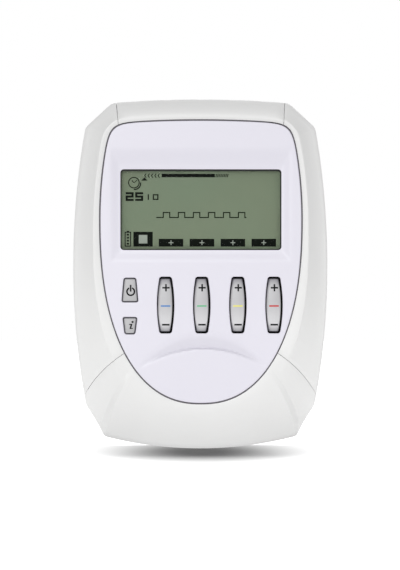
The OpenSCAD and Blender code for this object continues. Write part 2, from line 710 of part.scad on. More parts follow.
module housing_screws() color(SILVER) for (p = posts) difference() {
    union() {
        bar_y(p[0], p[1], screw_seat_y, screw_seat_y + 2, screw_head_r);
        bar_y(p[0], p[1], chassis_back_y + 1.5, screw_seat_y + 0.1, screw_r);
    }
    for (a = [0, 90]) slab(screw_seat_y + 1.1, screw_seat_y + 3)
        translate(p) rotate(a) square([3, 0.6], center = true);
}
module board_screws() color(SILVER) for (p = board_bosses) {
    bar_y(p[0], p[1], board_back_y, board_back_y + 1.2, board_head_r);
    bar_y(p[0], p[1], chassis_back_y + 0.2, board_back_y + 0.1, board_screw_r);
}
module rubber_feet() color([0.2, 0.2, 0.2]) for (p = feet)
    bar_y(p[0], p[1], back_in_y, back_y + foot_proud, foot_r);

faceplate();
faceplate_gasket();
top_cap();
left_side_band();
right_side_band();
bottom_cap();
front_chassis();
rear_housing();
display_window();
lcd_panel();
lcd_bezel();
lcd_backlight();
lcd_connector();
main_board();
key_switches();
rocker_shaft();
power_key();
info_key();
channel_key_1();
channel_key_2();
channel_key_3();
channel_key_4();
output_socket_1();
output_socket_2();
output_socket_3();
output_socket_4();
socket_collar_1();
socket_collar_2();
socket_collar_3();
socket_collar_4();
socket_contacts();
charger_socket();
charger_collar();
output_transformers();
processor_chip();
board_components();
buzzer();
battery_cells();
battery_springs();
battery_plates();
battery_door();
housing_screws();
board_screws();
rubber_feet();
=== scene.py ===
"""A handheld four-channel muscle stimulator, standing on its rounded base.

Every length below is in millimetres unless a comment says otherwise, and each finished piece is scaled to
metres once. X runs to the right, Y from the front to the back, Z up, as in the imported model.
"""

import math

import bmesh
import bpy
from mathutils import Matrix, Vector


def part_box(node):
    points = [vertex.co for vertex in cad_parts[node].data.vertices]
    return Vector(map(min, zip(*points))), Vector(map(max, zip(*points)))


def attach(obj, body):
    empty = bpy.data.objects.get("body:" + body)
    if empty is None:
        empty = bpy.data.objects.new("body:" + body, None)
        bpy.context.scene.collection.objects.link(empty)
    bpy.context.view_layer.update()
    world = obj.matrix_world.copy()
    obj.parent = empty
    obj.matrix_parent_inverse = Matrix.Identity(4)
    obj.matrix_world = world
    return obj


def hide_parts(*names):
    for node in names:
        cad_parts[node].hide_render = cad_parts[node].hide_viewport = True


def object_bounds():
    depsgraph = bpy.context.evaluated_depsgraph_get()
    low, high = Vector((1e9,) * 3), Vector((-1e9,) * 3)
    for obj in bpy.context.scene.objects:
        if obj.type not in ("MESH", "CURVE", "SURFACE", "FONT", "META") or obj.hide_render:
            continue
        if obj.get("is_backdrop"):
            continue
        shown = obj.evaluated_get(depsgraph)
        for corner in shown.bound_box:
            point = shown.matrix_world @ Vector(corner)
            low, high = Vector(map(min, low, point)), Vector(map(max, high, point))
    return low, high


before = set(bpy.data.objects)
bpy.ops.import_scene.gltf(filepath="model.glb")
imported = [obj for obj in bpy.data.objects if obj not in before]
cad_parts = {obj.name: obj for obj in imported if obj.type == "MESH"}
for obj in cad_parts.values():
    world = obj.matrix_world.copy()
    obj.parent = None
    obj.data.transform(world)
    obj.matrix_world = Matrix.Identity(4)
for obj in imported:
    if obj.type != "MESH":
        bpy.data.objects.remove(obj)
CAD_BOX = [corner.copy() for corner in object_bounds()]


# ---- White outer shells ----
# The front of the case is four satin white ABS mouldings: a cap over the sockets, a band down each side
# with a long soft ridge, and a broad cap round the foot. They clip round the faceplate, and only thin
# lines show where they meet.
MM = 0.001
BODY_H = CAD_BOX[1].z / MM
HALF_W = CAD_BOX[1].x / MM
FRONT_Y = CAD_BOX[0].y / MM
FACE_Y = FRONT_Y + 0.8
SHELL_Y = FACE_Y + 0.2
PART_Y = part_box("top_cap")[1].y / MM
BODY_C = (0.0, BODY_H / 2)
FACE_C = (0.0, BODY_H - 48)
FACE_HALF_W = HALF_W - 10.4
FACE_LOW = FACE_C[1] - 18.1


def far_side(centre, angle, middle, radius):
    """Distance along a ray from centre to the far side of a circle."""
    dx, dz = middle[0] - centre[0], middle[1] - centre[1]
    along = dx * math.cos(angle) + dz * math.sin(angle)
    return along + math.sqrt(along * along - dx * dx - dz * dz + radius * radius)


def near_side(centre, angle, middle, radius):
    """Distance along a ray to a circle that stands off to the side, or a large number where it misses."""
    dx, dz = middle[0] - centre[0], middle[1] - centre[1]
    along = dx * math.cos(angle) + dz * math.sin(angle)
    under = along * along - dx * dx - dz * dz + radius * radius
    return along - math.sqrt(under) if under > 0 and along > 0 else 1e4


def line_side(centre, angle, start, end):
    """Distance along a ray to the line through two points."""
    run, rise = end[0] - start[0], end[1] - start[1]
    across = (-rise * math.cos(angle) + run * math.sin(angle))
    gap = -rise * (start[0] - centre[0]) + run * (start[1] - centre[1])
    return gap / across if gap / across > 0 else 1e4


def soft_min(distances, tightness):
    """The least of some distances, with the corner between the two nearest rounded off."""
    least = min(distances)
    return least * sum((least / d) ** tightness for d in distances) ** (-1 / tightness)


TOP_R, SIDE_R, BASE_R, NOTCH_R = 432, 314, 154, 70
WIDEST_AT = (HALF_W, BODY_H * 0.525)
CORNER_BLEND = 170
CHAMFER_TOP = (HALF_W - 14.2, BODY_H - 2.7)
CHAMFER_SIDE = (HALF_W - 5.2, BODY_H - 11)
NOTCH_TOP = (HALF_W - 5.4, 16.6)
NOTCH_BASE = (HALF_W - 12.4, 4.4)


def notch_centre():
    """The centre of the hollow between the side bands and the foot."""
    middle = Vector(((NOTCH_TOP[0] + NOTCH_BASE[0]) / 2, (NOTCH_TOP[1] + NOTCH_BASE[1]) / 2))
    along = Vector(NOTCH_BASE) - Vector(NOTCH_TOP)
    out = Vector((-along.y, along.x)).normalized()
    return middle + out * math.sqrt(NOTCH_R ** 2 - (along.length / 2) ** 2)


NOTCH_C = notch_centre()


def body_point(degrees, inset=0.0):
    """A point of the case's outline, seen from its centre at an angle from the right."""
    angle = math.radians(degrees)
    reach = soft_min([
        far_side(BODY_C, angle, (0, BODY_H - TOP_R), TOP_R),
        far_side(BODY_C, angle, (HALF_W - SIDE_R, WIDEST_AT[1]), SIDE_R),
        far_side(BODY_C, angle, (0, BASE_R), BASE_R),
        line_side(BODY_C, angle, CHAMFER_TOP, CHAMFER_SIDE),
        near_side(BODY_C, angle, NOTCH_C, NOTCH_R),
    ], CORNER_BLEND) - inset
    return Vector((BODY_C[0] + math.cos(angle) * reach, BODY_C[1] + math.sin(angle) * reach))


FACE_SIDE_R, FACE_TOP_R = 165, 430
FACE_TOP_GAP = 8.3
FACE_LOW_POWER = 2.3
FACE_CORNER_BLEND = 16


def face_point(degrees, inset=0.0):
    """A point of the faceplate's outline, seen from its own centre."""
    angle = math.radians(degrees)
    c, s = abs(math.cos(angle)), math.sin(angle)
    if degrees < 0:
        power = FACE_LOW_POWER
        reach = ((c / FACE_HALF_W) ** power + (-s / FACE_LOW) ** power) ** (-1 / power)
    else:
        reach = soft_min([
            far_side(FACE_C, angle, (FACE_HALF_W - FACE_SIDE_R, FACE_C[1]), FACE_SIDE_R),
            far_side(FACE_C, angle, (0, BODY_H - FACE_TOP_GAP - FACE_TOP_R), FACE_TOP_R),
        ], FACE_CORNER_BLEND)
    reach -= inset
    return Vector((FACE_C[0] + math.cos(angle) * reach, FACE_C[1] + math.sin(angle) * reach))


def angle_of(point, centre):
    return math.degrees(math.atan2(point[1] - centre[1], point[0] - centre[0]))


def lookup(x, table):
    """Straight-line lookup in a table whose first column falls from 90 to -90."""
    for (a, low), (b, high) in zip(table, table[1:]):
        if x >= b:
            return low + (high - low) * (a - x) / (a - b)
    return table[-1][1]


def smooth(t):
    """A soft step from 0 to 1."""
    t = min(1.0, max(0.0, t))
    return t * t * (3 - 2 * t)


SEAM_X = 33.7
SEAM_TOP = angle_of((SEAM_X, BODY_H - 1.5), BODY_C)
CHAMFER_A = angle_of(CHAMFER_SIDE, BODY_C)
WIDEST = angle_of(WIDEST_AT, BODY_C)
SEAM_LOW = angle_of((HALF_W - 4.6, 21.6), BODY_C)
NOTCH_A = angle_of(NOTCH_TOP, BODY_C)
RIDGE = angle_of(NOTCH_BASE, BODY_C)
FACE_MATCH = [
    (90, 90), (SEAM_TOP, angle_of((SEAM_X, BODY_H - 9.6), FACE_C)),
    (CHAMFER_A, angle_of((FACE_HALF_W - 3.6, BODY_H - 14), FACE_C)), (WIDEST, -3),
    (SEAM_LOW, angle_of((FACE_HALF_W - 9.2, 37.0), FACE_C)),
    (RIDGE, angle_of((FACE_HALF_W - 13.8, 31.3), FACE_C)), (-90, -90),
]
BOW = [(90, 0), (CHAMFER_A, 0), (WIDEST, 0), (SEAM_LOW, 1.5), (RIDGE, 1.6), (-90, 0)]
COVE = [
    (90, 0), (SEAM_TOP + 2, 0), (SEAM_TOP, 0.5), (CHAMFER_A, 1), (SEAM_LOW, 1), (RIDGE, 0), (-90, 0),
]
SCOOP = [(90, 0), (SEAM_LOW, 0), (RIDGE + 2.5, 2.4), (RIDGE, 0), (-90, 0)]
RIDGE_V = 0.22
LIP_DROP = 0.35
EDGE_DROP = 8.0


def shell_depth(degrees, v):
    """How far behind the ridge the shell's face lies, from the faceplate (0) to the outline (1)."""
    if v < RIDGE_V:
        cove = LIP_DROP * (1 - v / RIDGE_V) ** 2
    else:
        cove = EDGE_DROP * (1 - (1 - (v - RIDGE_V) / (1 - RIDGE_V)) ** 1.7)
    dome = LIP_DROP * (1 - v) ** 6 + EDGE_DROP * v ** 2.6
    share = lookup(degrees, COVE)
    return share * cove + (1 - share) * dome + lookup(degrees, SCOOP) * v ** 1.2


def shell_plan(degrees, v):
    """Where the shell's face lies between the faceplate (0) and the outline (1), seen from the front."""
    inner = face_point(lookup(degrees, FACE_MATCH))
    outer = body_point(degrees)
    run = outer - inner
    across = Vector((-run.y, run.x)).normalized()
    return inner + run * v + across * lookup(degrees, BOW) * 4 * v * (1 - v)


RIM_R = 1.6
FACE_ROWS, RIM_ROWS, WALL_ROWS = 30, 7, 4


def shell_point(degrees, row, side):
    """Row by row from the faceplate over the face, round the rim and back along the wall."""
    reach = (body_point(degrees) - shell_plan(degrees, 0)).length
    turn_v = 1 - RIM_R / reach
    if row < FACE_ROWS:
        v = turn_v * row / (FACE_ROWS - 1)
        plan = shell_plan(degrees, v)
        depth = shell_depth(degrees, v)
    elif row < FACE_ROWS + RIM_ROWS:
        turn = math.pi / 2 * (row - FACE_ROWS + 1) / RIM_ROWS
        v = turn_v + (1 - turn_v) * math.sin(turn)
        plan = shell_plan(degrees, v)
        depth = shell_depth(degrees, v) + RIM_R * (1 - math.cos(turn))
    else:
        plan = body_point(degrees)
        start = shell_depth(degrees, 1.0) + RIM_R
        depth = start + (PART_Y - SHELL_Y - start) * (row - FACE_ROWS - RIM_ROWS + 1) / WALL_ROWS
    return Vector((side * plan.x, SHELL_Y + depth, plan.y))


def sheet_of(columns, rows, point):
    """A rectangular sheet of faces whose vertex in column i and row j lies at point(i, j)."""
    bm = bmesh.new()
    bmesh.ops.create_grid(bm, x_segments=columns - 1, y_segments=rows - 1, size=1)
    for vert in bm.verts:
        i = round((vert.co.x + 1) / 2 * (columns - 1))
        j = round((vert.co.y + 1) / 2 * (rows - 1))
        vert.co = point(i, j)
    bm.normal_update()
    return bm


def face_front(bm):
    """Turns an open sheet over if its faces look to the back."""
    if sum(face.normal.y * face.calc_area() for face in bm.faces) > 0:
        bmesh.ops.reverse_faces(bm, faces=bm.faces[:])


def walled(bm, back):
    """Gives a sheet straight walls from its rim to a depth, and closes it there."""
    rim = [e for e in bm.edges if e.is_boundary]
    walls = bmesh.ops.extrude_edge_only(bm, edges=rim)["geom"]
    for vert in [g for g in walls if isinstance(g, bmesh.types.BMVert)]:
        vert.co.y = back
    bmesh.ops.holes_fill(bm, edges=[e for e in bm.edges if e.is_boundary], sides=0)
    bmesh.ops.recalc_face_normals(bm, faces=bm.faces[:])


def even(start, end, count):
    """Evenly spaced values from start up to, but not including, end."""
    return [start + (end - start) * k / count for k in range(count)]


def as_object(bm, name):
    """Scales a mesh to metres and puts it into the scene."""
    bmesh.ops.scale(bm, vec=(MM, MM, MM), verts=bm.verts[:])
    mesh = bpy.data.meshes.new(name)
    bm.to_mesh(mesh)
    bm.free()
    piece = bpy.data.objects.new(name, mesh)
    bpy.context.scene.collection.objects.link(piece)
    return piece


SHARP_FROM = math.radians(35)


def shade_soft(piece):
    """Shades a piece smooth everywhere but at its sharp corners."""
    piece.data.shade_smooth()
    piece.data.set_sharp_from_angle(angle=SHARP_FROM)


def paint(piece, material):
    """Gives a piece its one material."""
    piece.data.materials.clear()
    piece.data.materials.append(material)
    shade_soft(piece)


def settle(piece, material, body="case", stands_for=()):
    """Paints a finished piece and makes it ride on its body."""
    paint(piece, material)
    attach(piece, body)
    if stands_for:
        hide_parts(*stands_for)


def finish_piece(bm, name, material, body="case", stands_for=()):
    """Makes a piece of a mesh and hands it to its body."""
    piece = as_object(bm, name)
    settle(piece, material, body, stands_for)
    return piece


def bake_modifiers(piece):
    """Applies a piece's modifiers, so that its own mesh has the final shape."""
    bpy.context.view_layer.update()
    graph = bpy.context.evaluated_depsgraph_get()
    mesh = bpy.data.meshes.new_from_object(piece.evaluated_get(graph), depsgraph=graph)
    piece.modifiers.clear()
    piece.data = mesh


def soften(piece, width=0.15, limit=40):
    """Rounds a piece's sharp edges."""
    edge = piece.modifiers.new("edge", "BEVEL")
    edge.width = width * MM
    edge.segments = 2
    edge.limit_method = "ANGLE"
    edge.angle_limit = math.radians(limit)
    bake_modifiers(piece)
    shade_soft(piece)


def new_material(name):
    material = bpy.data.materials.new(name)
    material.use_nodes = True
    nodes, links = material.node_tree.nodes, material.node_tree.links
    return material, nodes, links, nodes["Principled BSDF"]


def map_range(nodes, to_min, to_max, from_min=0, from_max=1, smoothed=False):
    """A node that turns one span of values into another."""
    span = nodes.new("ShaderNodeMapRange")
    span.interpolation_type = "SMOOTHSTEP" if smoothed else "LINEAR"
    span.inputs["From Min"].default_value = from_min
    span.inputs["From Max"].default_value = from_max
    span.inputs["To Min"].default_value = to_min
    span.inputs["To Max"].default_value = to_max
    return span


def noise(nodes, scale, detail):
    """A cloudy pattern: scale is how many clouds fit in a metre, more or less."""
    cloud = nodes.new("ShaderNodeTexNoise")
    cloud.inputs["Scale"].default_value = scale
    cloud.inputs["Detail"].default_value = detail
    return cloud


def colour_mix(nodes):
    """A node that mixes two colours."""
    blend = nodes.new("ShaderNodeMix")
    blend.data_type = "RGBA"
    return blend


def moulded_plastic(name, colour, roughness, grain=1400, bump=0.05, tint=0.03):
    """Injection-moulded plastic: a fine spark-eroded grain, and a faint unevenness of tone and sheen."""
    material, nodes, links, shader = new_material(name)
    place = nodes.new("ShaderNodeTexCoord")
    fine = noise(nodes, grain, 3)
    broad = noise(nodes, 22, 2)
    tone = colour_mix(nodes)
    tone.inputs["A"].default_value = (*[c * (1 - tint) for c in colour], 1)
    tone.inputs["B"].default_value = (*[min(1, c * (1 + tint)) for c in colour], 1)
    sheen = map_range(nodes, roughness - 0.04, roughness + 0.06)
    relief = nodes.new("ShaderNodeBump")
    relief.inputs["Strength"].default_value = bump
    relief.inputs["Distance"].default_value = 0.0002
    links.new(place.outputs["Object"], fine.inputs["Vector"])
    links.new(place.outputs["Object"], broad.inputs["Vector"])
    links.new(broad.outputs["Fac"], tone.inputs["Factor"])
    links.new(tone.outputs["Result"], shader.inputs["Base Color"])
    links.new(fine.outputs["Fac"], sheen.inputs["Value"])
    links.new(sheen.outputs["Result"], shader.inputs["Roughness"])
    links.new(fine.outputs["Fac"], relief.inputs["Height"])
    links.new(relief.outputs["Normal"], shader.inputs["Normal"])
    return material


white_shell = moulded_plastic("white_satin_abs", (0.80, 0.80, 0.795), 0.38)
SHELL_T = 1.4
SEAM_GAP = 0.2
half_seam = SEAM_GAP / 2 / (BODY_H / 2) * 180 / math.pi
crown = even(89.99, SEAM_TOP + half_seam, 26) + [SEAM_TOP + half_seam]
flank = (
    even(SEAM_TOP - half_seam, CHAMFER_A + 1.5, 14) + even(CHAMFER_A + 1.5, CHAMFER_A - 1.5, 12)
    + even(CHAMFER_A - 1.5, SEAM_LOW + half_seam, 60) + [SEAM_LOW + half_seam]
)
foot = (
    even(SEAM_LOW - half_seam, NOTCH_A + 1.5, 6) + even(NOTCH_A + 1.5, NOTCH_A - 1.5, 12)
    + even(NOTCH_A - 1.5, RIDGE + 2.6, 10) + even(RIDGE + 2.6, RIDGE - 1.4, 20)
    + even(RIDGE - 1.4, -89.99, 40)
)
SHELL_RUNS = {
    "top_cap": [(a, -1) for a in reversed(crown)] + [(a, 1) for a in crown],
    "right_side_band": [(a, 1) for a in flank],
    "left_side_band": [(a, -1) for a in reversed(flank)],
    "bottom_cap": [(a, 1) for a in foot] + [(a, -1) for a in reversed(foot)],
}
SHELL_ROWS = FACE_ROWS + RIM_ROWS + WALL_ROWS
for node, run in SHELL_RUNS.items():
    bm = sheet_of(len(run), SHELL_ROWS, lambda i, j: shell_point(run[i][0], j, run[i][1]))
    face_front(bm)
    shell = finish_piece(bm, f"{node}_skin", white_shell, stands_for=[node])
    wall = shell.modifiers.new("wall", "SOLIDIFY")
    wall.thickness = SHELL_T * MM
    wall.offset = -1
    soften(shell, 0.18, 50)


# ---- Gasket ----
# A thin ring of dark thermoplastic rubber that fills the gap between the faceplate and the white shells.
# It is pressed in from behind and shows as a fine dark line.
def surface_finish(name, colour, roughness, metallic=0.0, grain=900, bump=0.06, tint=0.08,
                   stretch=(1, 1, 1), specular=0.5):
    """A plain material with fine grain, faint blotches, and a grain that may be drawn out along an axis."""
    material = moulded_plastic(name, colour, roughness, grain, bump, tint)
    nodes, links = material.node_tree.nodes, material.node_tree.links
    nodes["Principled BSDF"].inputs["Metallic"].default_value = metallic
    nodes["Principled BSDF"].inputs["Specular IOR Level"].default_value = specular
    if stretch != (1, 1, 1):
        place = nodes["Texture Coordinate"]
        draw = nodes.new("ShaderNodeMapping")
        draw.inputs["Scale"].default_value = stretch
        links.new(place.outputs["Object"], draw.inputs["Vector"])
        links.new(draw.outputs["Vector"], nodes["Noise Texture"].inputs["Vector"])
    return material


def paint_node(node, material):
    """Gives a CAD node its finish."""
    paint(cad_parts[node], material)


dark_rubber = surface_finish("dark_gasket_rubber", (0.15, 0.14, 0.16), 0.7)
paint_node("faceplate_gasket", dark_rubber)


# ---- Faceplate ----
# One satin lavender-white moulding that carries the display and the keys. A shallow tray with mitred
# corners surrounds the display, and a crescent is moulded into it below the keys, for the thumb.
FACE_T = 2.0
FACE_BACK = FACE_Y + FACE_T
GASKET_W = 0.6
DISPLAY = (0.0, BODY_H - 44.3)
DISPLAY_W, DISPLAY_H = 64.2, 32.2
ROCKER_Z = BODY_H - 82.3
ROCKER_X = [7.5 + (i - 1.5) * 14.4 for i in range(4)]
ROCKER_H, ROCKER_W, ROCKER_END_W = 22.6, 6.9, 4.8
KEY_GAP = 0.5
SMALL_X = -28.3
TRAY_DEPTH = 0.8
TRAY_SIDE, TRAY_LOW, TRAY_TOP = 4.2, 5.0, 9.0
CRESCENT_DEPTH = 1.25
CRESCENT_CLIFF = 0.6
CRESCENT_LOW = (1.0, ROCKER_Z - 62.3, 45.3)
CRESCENT_TOP = (1.0, ROCKER_Z - 40.5, 30.0)
EDGE_R = 0.3


def tray(x, z):
    """Depth of the tray: level round the display, and three slopes that meet in mitred corners."""
    side = (abs(x - DISPLAY[0]) - DISPLAY_W / 2) / TRAY_SIDE
    low = (DISPLAY[1] - DISPLAY_H / 2 - z) / TRAY_LOW
    top = (z - DISPLAY[1] - DISPLAY_H / 2) / TRAY_TOP
    return TRAY_DEPTH * (1 - smooth(max(side, low, top)))


def crescent(x, z):
    """Depth of the crescent: it deepens slowly from its upper arc and rises sharply at its lower arc."""
    upper = CRESCENT_TOP[2] - math.hypot(x - CRESCENT_TOP[0], z - CRESCENT_TOP[1])
    lower = math.hypot(x - CRESCENT_LOW[0], z - CRESCENT_LOW[1]) - CRESCENT_LOW[2]
    if upper <= 0 or lower <= -CRESCENT_CLIFF:
        return 0.0
    share = upper / max(0.01, upper + max(0.0, lower))
    deep = min(1.0, (upper + max(0.0, lower)) / 6)
    return CRESCENT_DEPTH * deep * share ** 1.4 * (1 if lower > 0 else 1 + lower / CRESCENT_CLIFF)


def face_ring(inset, depth):
    """Points at one depth, once round the faceplate's outline."""
    half = [face_point(-90 + 180 * k / 110, inset) for k in range(111)]
    right = [Vector((p.x, depth, p.y)) for p in half]
    return right + [Vector((-p.x, depth, p.y)) for p in reversed(half[1:-1])]


def key_ring(middle, half_h, half_w, corner, grow, depth):
    """An opening's outline: half_w(z) is its half width, and its corners are rounded."""
    high, r = half_h + grow, max(0.3, corner + grow)
    turns = [math.pi / 2 * k / 6 for k in range(7)]
    flat = high - r
    heights = [-flat - r * math.cos(t) for t in turns] + [flat * (k / 9 - 1) for k in range(1, 18)]
    heights += [flat + r * math.sin(t) for t in turns]
    half = []
    for z in heights:
        over = max(0.0, abs(z) - flat)
        half.append((half_w(z) + grow - r + math.sqrt(max(0.0, r * r - over * over)), z))
    right = [Vector((middle[0] + x, depth, middle[1] + z)) for x, z in half]
    left = [Vector((middle[0] - x, depth, middle[1] + z)) for x, z in reversed(half)]
    return right + left


def rocker_side(z):
    """Half the width of a rocker's opening at a height above its middle."""
    sag = (ROCKER_W - ROCKER_END_W) / 2
    r = ((ROCKER_H / 2) ** 2 + sag * sag) / (2 * sag)
    return ROCKER_W / 2 - r + math.sqrt(r * r - z * z)


POWER_H, POWER_TOP_W, POWER_LOW_W = 9.8, 5, 6.8
INFO_H, INFO_TOP_W, INFO_LOW_W = 6.9, 6, 4.3


def power_side(z):
    return (POWER_TOP_W + POWER_LOW_W) / 4 - z / POWER_H * (POWER_LOW_W - POWER_TOP_W) / 2


def info_side(z):
    return (INFO_TOP_W + INFO_LOW_W) / 4 + z / INFO_H * (INFO_TOP_W - INFO_LOW_W) / 2


KEY_CORNER = 0.9
KEYS = {
    f"channel_key_{i + 1}": ((ROCKER_X[i], ROCKER_Z), ROCKER_H / 2, rocker_side, KEY_CORNER)
    for i in range(4)
}
KEYS["power_key"] = ((SMALL_X, ROCKER_Z + 6), POWER_H / 2, power_side, KEY_CORNER)
KEYS["info_key"] = ((SMALL_X, ROCKER_Z - 8.2), INFO_H / 2, info_side, KEY_CORNER)
DISPLAY_CORNER = 1.4


def display_ring(grow, depth):
    return key_ring(DISPLAY, DISPLAY_H / 2, lambda z: DISPLAY_W / 2, DISPLAY_CORNER, grow, depth)


def lofted(rings):
    """A closed solid through rings of points, each with as many points as the next."""
    bm = sheet_of(len(rings[0]) + 1, len(rings), lambda i, j: rings[j][i % len(rings[0])])
    bmesh.ops.remove_doubles(bm, verts=bm.verts[:], dist=1e-4)
    bmesh.ops.holes_fill(bm, edges=[e for e in bm.edges if e.is_boundary], sides=0)
    bmesh.ops.recalc_face_normals(bm, faces=bm.faces[:])
    return bm


def flared(ring):
    """Ring after ring of a cutter whose mouth opens in a small quarter round at the front face."""
    turns = [math.pi / 2 * k / 5 for k in range(6)]
    rings = [ring(EDGE_R, FACE_Y - 1.5)]
    rings += [ring(EDGE_R * (1 - math.sin(t)), FACE_Y + EDGE_R * (1 - math.cos(t))) for t in turns]
    rings.append(ring(0, FACE_BACK + 1.0))
    return rings


def cut_with(piece, bm, operation="DIFFERENCE"):
    """Cuts a piece with a mesh in millimetres and throws the cutter away."""
    cutter = as_object(bm, "cutter")
    boolean = piece.modifiers.new("cut", "BOOLEAN")
    boolean.operation = operation
    boolean.solver = "EXACT"
    boolean.object = cutter
    bake_modifiers(piece)
    bpy.data.objects.remove(cutter)


FACE_STEP = 0.6
plate_low = Vector((-FACE_HALF_W - 1, FACE_C[1] - FACE_LOW - 1))
plate_high = Vector((FACE_HALF_W + 1, BODY_H - 6))
columns = round((plate_high.x - plate_low.x) / FACE_STEP)
rows = round((plate_high.y - plate_low.y) / FACE_STEP)


def plate_point(i, j):
    x = plate_low.x + (plate_high.x - plate_low.x) * i / (columns - 1)
    z = plate_low.y + (plate_high.y - plate_low.y) * j / (rows - 1)
    return Vector((x, FACE_Y + tray(x, z) + crescent(x, z), z))


bm = sheet_of(columns, rows, plate_point)
walled(bm, FACE_BACK)


def fade_with_depth(material, colour, near, far, deep_colour):
    """Blends a material's colour into another one between two depths, and returns the blending node."""
    nodes, links = material.node_tree.nodes, material.node_tree.links
    axes = nodes.new("ShaderNodeSeparateXYZ")
    sunk = map_range(nodes, 0, 1, near * MM, far * MM, smoothed=True)
    fade = colour_mix(nodes)
    fade.inputs["B"].default_value = deep_colour
    links.new(nodes["Texture Coordinate"].outputs["Object"], axes.inputs["Vector"])
    links.new(axes.outputs["Y"], sunk.inputs["Value"])
    links.new(sunk.outputs["Result"], fade.inputs["Factor"])
    links.new(colour, fade.inputs["A"])
    return fade


LAVENDER = (0.765, 0.749, 0.826)
# Painted shade: the crescent below the keys is coloured darker, as if its downward-facing slope lay in
# shade.
CRESCENT_PAINTED_SHADE = (0.715, 0.70, 0.773, 1)
lavender = moulded_plastic("lavender_satin_plate", LAVENDER, 0.34, grain=1800, bump=0.03, tint=0.015)
nodes, links = lavender.node_tree.nodes, lavender.node_tree.links
crescent_painted_shade = fade_with_depth(lavender, nodes["Mix"].outputs["Result"], FACE_Y + 0.05, FACE_Y + 0.5,
                         CRESCENT_PAINTED_SHADE)
below_keys = map_range(nodes, 1, 0, (ROCKER_Z - 12.5) * MM, (ROCKER_Z - 10.5) * MM)
in_crescent = nodes.new("ShaderNodeMath")
in_crescent.operation = "MULTIPLY"
links.new(nodes["Separate XYZ"].outputs["Z"], below_keys.inputs["Value"])
links.new(below_keys.outputs["Result"], in_crescent.inputs[0])
links.new(crescent_painted_shade.inputs["Factor"].links[0].from_socket, in_crescent.inputs[1])
links.new(in_crescent.outputs["Value"], crescent_painted_shade.inputs["Factor"])
links.new(crescent_painted_shade.outputs["Result"], nodes["Principled BSDF"].inputs["Base Color"])
faceplate = as_object(bm, "faceplate_skin")
cut_with(faceplate, lofted(flared(lambda grow, depth: face_ring(GASKET_W + grow, depth))), "INTERSECT")
cut_with(faceplate, lofted(flared(display_ring)))
for key in KEYS.values():
    cut_with(faceplate, lofted(flared(lambda grow, depth: key_ring(*key, grow, depth))))
settle(faceplate, lavender, stands_for=["faceplate"])


# ---- Display ----
# A reflective liquid-crystal panel behind a clear window, with a black ring round its edge that is painted
# shade: it stands for the shadow inside the window's rim, and is wider along the top. Its figures are only
# signs: a clock, a time, a progress bar, a pulse train, a battery and four channel boxes.
LCD_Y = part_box("lcd_panel")[0].y / MM
INK_T = 0.03
RIM_SHADOW_FRONT, RIM_SHADOW_BACK = FACE_Y + 1.1, FACE_BACK - 0.05

panel, nodes, links, shader = new_material("lcd_panel")
place = nodes.new("ShaderNodeTexCoord")
cloud = noise(nodes, 26, 1)
greens = colour_mix(nodes)
greens.inputs["A"].default_value = (0.172, 0.25, 0.17, 1)
greens.inputs["B"].default_value = (0.224, 0.25, 0.168, 1)
links.new(place.outputs["Object"], cloud.inputs["Vector"])
links.new(cloud.outputs["Fac"], greens.inputs["Factor"])
links.new(greens.outputs["Result"], shader.inputs["Base Color"])
shader.inputs["Roughness"].default_value = 0.5
shader.inputs["Specular IOR Level"].default_value = 0.1
paint_node("lcd_panel", panel)

clear, nodes, links, shader = new_material("clear_window")
shader.inputs["Base Color"].default_value = (0.01, 0.012, 0.01, 1)
shader.inputs["Roughness"].default_value = 0.06
shader.inputs["Alpha"].default_value = 0.02
paint_node("display_window", clear)

# Painted shade: a black ring inside the window's rim, where the opening casts its shadow.
rim_shadow_black = surface_finish("painted_rim_shadow", (0.02, 0.02, 0.02), 0.9, grain=2500, bump=0.3)
inner = [display_ring(-0.45, y) for y in (RIM_SHADOW_BACK, RIM_SHADOW_FRONT)]
outer = [display_ring(-0.02, y) for y in (RIM_SHADOW_FRONT, RIM_SHADOW_BACK)]
# The ring's inner edge is lowered 0.25 mm along the top, where the painted shadow is widest.
for ring in inner:
    for point in ring:
        point.z -= 0.25 * (point.z > DISPLAY[1])
finish_piece(lofted(inner + outer + inner[:1]), "display_foam_ring", rim_shadow_black)


def bar(bm, x0, z0, x1, z1):
    """Adds an upright rectangle to a drawing in the plane of X and Z."""
    made = bmesh.ops.create_grid(bm, x_segments=1, y_segments=1, size=0.5)["verts"]
    for vert in made:
        vert.co = Vector(((x0 + x1) / 2 + vert.co.x * (x1 - x0), 0, (z0 + z1) / 2 + vert.co.y * (z1 - z0)))


def arc(bm, x, z, r, width, start=0, sweep=360, steps=32):
    """Adds a ring, or part of one, to a drawing."""
    first = [bm.verts.new((x + (r + side * width / 2) * math.cos(math.radians(start)), 0,
                           z + (r + side * width / 2) * math.sin(math.radians(start)))) for side in (-1, 1)]
    edge = bm.edges.new(first)
    bmesh.ops.spin(bm, geom=[*first, edge], cent=(x, 0, z), axis=(0, -1, 0), dvec=(0, 0, 0),
                   angle=math.radians(sweep), steps=steps, use_merge=sweep == 360)


def corners(bm, *points):
    """Adds a flat shape with the given corners to a drawing."""
    bm.faces.new([bm.verts.new((x, 0, z)) for x, z in points])


def drawing_on(bm, name, material, depth, body="case", thick=INK_T, cell=None):
    """Lays a flat drawing on a surface, depth(x, z), and gives it the thickness of ink."""
    if cell:
        bmesh.ops.subdivide_edges(bm, edges=[e for e in bm.edges if e.calc_length() > cell], cuts=5,
                                  use_grid_fill=True)
    for vert in bm.verts:
        vert.co.y = depth(vert.co.x, vert.co.z)
    bm.normal_update()
    for face in bm.faces:
        if face.normal.y > 0:
            face.normal_flip()
    bmesh.ops.solidify(bm, geom=bm.faces[:], thickness=thick)
    bmesh.ops.recalc_face_normals(bm, faces=bm.faces[:])
    return finish_piece(bm, name, material, body)


SEGMENTS = {"2": "abged", "5": "afgcd", "1": "bc", "0": "abcdef"}


